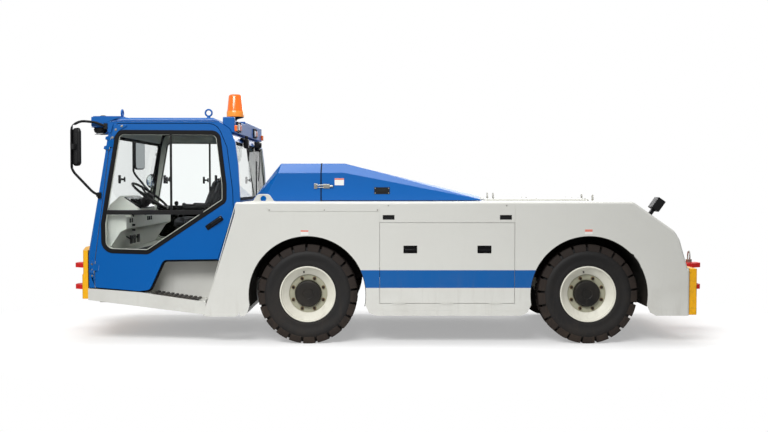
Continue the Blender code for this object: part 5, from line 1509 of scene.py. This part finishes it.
# ---- bumpers, hitches, tail ----------------------------------------------------
def bumpers():
    refined("front_bumper", YELLOW, 0.014, 4, 25)
    refined("rear_bumper", CHEVRON, 0.008, 3, 30)
    for node in ("front_hitch", "rear_hitch"):
        refined(node, RED, 0.004, 2, 40)
    heads = []
    for y in (-0.95, -0.40, 0.40, 0.95):
        for z in (0.40, 0.70):
            heads.append(bolt("bolt", (3.1965, y, z), (1, 0, 0), 0.016, 0.014))
    place_piece(merge("rear_bumper_bolts", heads), ZINC)
    plates = []
    for end, x in ((-1, -3.345), (1, 3.203)):
        for y in (-0.125, 0.125):
            for z in (0.50, 0.72):
                plates.append(bolt("bolt", (x - end * 0.004, y, z), (end, 0, 0), 0.013, 0.010))
    place_piece(merge("hitch_bolts", plates), ZINC)


def tail_fittings():
    """Lamps and a slotted grille on the tail slope."""
    out = Vector((0.961, 0, 0.275))
    rings, reds, ambers = [], [], []
    for side in (-1, 1):
        for y, lenses in ((0.98, reds), (0.85, ambers)):
            spot = Vector((3.056, side * y, 0.932))
            rings.append(lathe("ring", [(0.040, -0.004), (0.054, -0.004), (0.056, 0.010), (0.050, 0.016),
                                        (0.044, 0.014), (0.040, 0.008)],
                               spot, out, 40))
            lenses.append(lathe("lens", [(0.0, -0.004), (0.043, -0.004), (0.043, 0.010), (0.030, 0.018),
                                         (0.0, 0.021)], spot, out, 40))
    place_piece(merge("tail_lamp_rings", rings), BLACK_PLASTIC)
    place_piece(merge("tail_stop_lamps", reds), RED_LENS)
    place_piece(merge("tail_turn_lamps", ambers), AMBER)
    slots = []
    for number in range(7):
        y = -0.36 + number * 0.12
        slots.append(block("slot", (2.9785, y - 0.045, 1.100), (2.994, y + 0.045, 1.122), 0.002))
    place_piece(merge("tail_grille", slots), BLACK_PLASTIC)


def underside():
    """Brake hoses and an exhaust that show from below."""
    pieces = [pipe("exhaust", [(0.55, 0.34, 0.62), (1.20, 0.36, 0.60), (1.45, 0.30, 0.66)], 0.038, 0.12,
                   sides=4),
              rod("silencer", (0.0, 0.33, 0.62), (0.60, 0.33, 0.62), 0.075, 32, 0.012)]
    place_piece(merge("exhaust", pieces), GREASY)
    hoses = [pipe("hose", [(-0.55, side * 0.30, 0.64), (-0.70, side * 0.50, 0.60),
                           (-0.80, side * 0.72, 0.56)], 0.010, 0.08)
             for side in (-1, 1)]
    place_piece(merge("brake_hoses", hoses), SEAL)


# ---- nodes that keep their shape ----------------------------------------------
def keep_rest():
    """Every node that nothing else stands for gets its finish, and rounded edges."""
    for node in frame["nodes"]:
        if node in DONE:
            continue
        refined(node, FINISHES[SLOT_OF[node]][0], 0.003 if "glass" not in node else 0.0)


# ---- floor, light and camera ---------------------------------------------------
WORLD_LEVEL = 0.55
STUDIO_LAMPS = (           # name, place, aimed at, size, watts
    ("key_lamp", (-3.0, -9.0, 7.5), (0.0, 0.0, 0.8), (7.0, 3.0), 900.0),
    ("top_lamp", (0.0, 1.0, 8.5), (0.0, 0.0, 1.0), (8.0, 5.0), 400.0),
    ("back_lamp", (2.0, 9.0, 5.0), (0.0, 0.0, 1.0), (8.0, 3.0), 300.0),
)


def stage():
    """Pale floor that fades to white, an even studio light, and the camera on the left side."""
    bpy.ops.mesh.primitive_circle_add(vertices=96, radius=60.0, fill_type="NGON", location=(0, 0, -0.0005))
    floor = bpy.context.object
    floor.name = "studio_floor"
    material = bpy.data.materials.new("studio_floor")
    material.use_nodes = True
    tree = material.node_tree
    tree.nodes.remove(tree.nodes["Principled BSDF"])
    surface = tree.nodes.new("ShaderNodeBsdfDiffuse")
    seen = tree.nodes.new("ShaderNodeLightPath").outputs["Is Camera Ray"]
    tree.links.new(blend_colour(tree, seen, (0.72, 0.72, 0.72, 1), (0.66, 0.66, 0.66, 1)),
                   surface.inputs["Color"])
    lift = tree.nodes.new("ShaderNodeEmission")
    tree.links.new(math_node(tree, "MULTIPLY", seen, 0.36), lift.inputs["Strength"])
    lit = tree.nodes.new("ShaderNodeAddShader")
    tree.links.new(surface.outputs[0], lit.inputs[0])
    tree.links.new(lift.outputs[0], lit.inputs[1])
    glow = tree.nodes.new("ShaderNodeEmission")
    tree.links.new(math_node(tree, "MULTIPLY", seen, 1.0), glow.inputs["Strength"])
    apart = tree.nodes.new("ShaderNodeSeparateXYZ")
    tree.links.new(object_place(tree), apart.inputs[0])
    across = math_node(tree, "POWER", math_node(tree, "DIVIDE", apart.outputs["X"], 5.2), 2.0)
    along = math_node(tree, "POWER", math_node(tree, "DIVIDE", apart.outputs["Y"], 3.4), 2.0)
    far = ramp(tree, math_node(tree, "ADD", across, along), 0.35, 1.1)
    both = tree.nodes.new("ShaderNodeMixShader")
    tree.links.new(far, both.inputs["Fac"])
    tree.links.new(lit.outputs[0], both.inputs[1])
    tree.links.new(glow.outputs[0], both.inputs[2])
    tree.links.new(both.outputs[0], tree.nodes["Material Output"].inputs["Surface"])
    floor.data.materials.append(material)

    world = bpy.data.worlds.new("studio")
    bpy.context.scene.world = world
    world.use_nodes = True
    tree = world.node_tree
    back = tree.nodes["Background"]
    rays = tree.nodes.new("ShaderNodeLightPath")
    clear = math_node(tree, "MAXIMUM", rays.outputs["Is Camera Ray"], rays.outputs["Is Transmission Ray"])
    level = math_node(tree, "MULTIPLY_ADD", clear, 1.0 - WORLD_LEVEL)
    level.node.inputs[2].default_value = WORLD_LEVEL
    tree.links.new(level, back.inputs["Strength"])
    back.inputs["Color"].default_value = (1, 1, 1, 1)

    for name, place, aim, size, power in STUDIO_LAMPS:
        lamp = bpy.data.lights.new(name, "AREA")
        lamp.shape = "RECTANGLE"
        lamp.size, lamp.size_y = size
        lamp.energy = power
        holder = bpy.data.objects.new(name, lamp)
        bpy.context.scene.collection.objects.link(holder)
        holder.location = place
        holder.rotation_euler = (Vector(aim) - Vector(place)).to_track_quat("-Z", "Y").to_euler()

    camera = bpy.data.cameras.new("camera")
    camera.lens = 44.8
    camera.sensor_width = 36.0
    camera.clip_end = 200.0
    holder = bpy.data.objects.new("camera", camera)
    bpy.context.scene.collection.objects.link(holder)
    holder.location = (-0.045, -11.05, 1.66)
    holder.rotation_euler = (math.radians(90.0 - 1.9), 0.0, 0.0)
    bpy.context.scene.camera = holder
    bpy.context.scene.view_settings.view_transform = "Standard"


stage()
wheels()
body_shell()
arch_liners()
locker_doors()
side_trim()
deck_trim()
hood_trim()
cab_shell()
door_fittings()
corner_brackets()
roof_fittings()
glazing()
cab_floor()
interior()
mirrors()
seat()
beacon()
roof_lamps()
rear_window_fittings()
work_lamp()
far_mirror()
bumpers()
tail_fittings()
underside()
keep_rest()
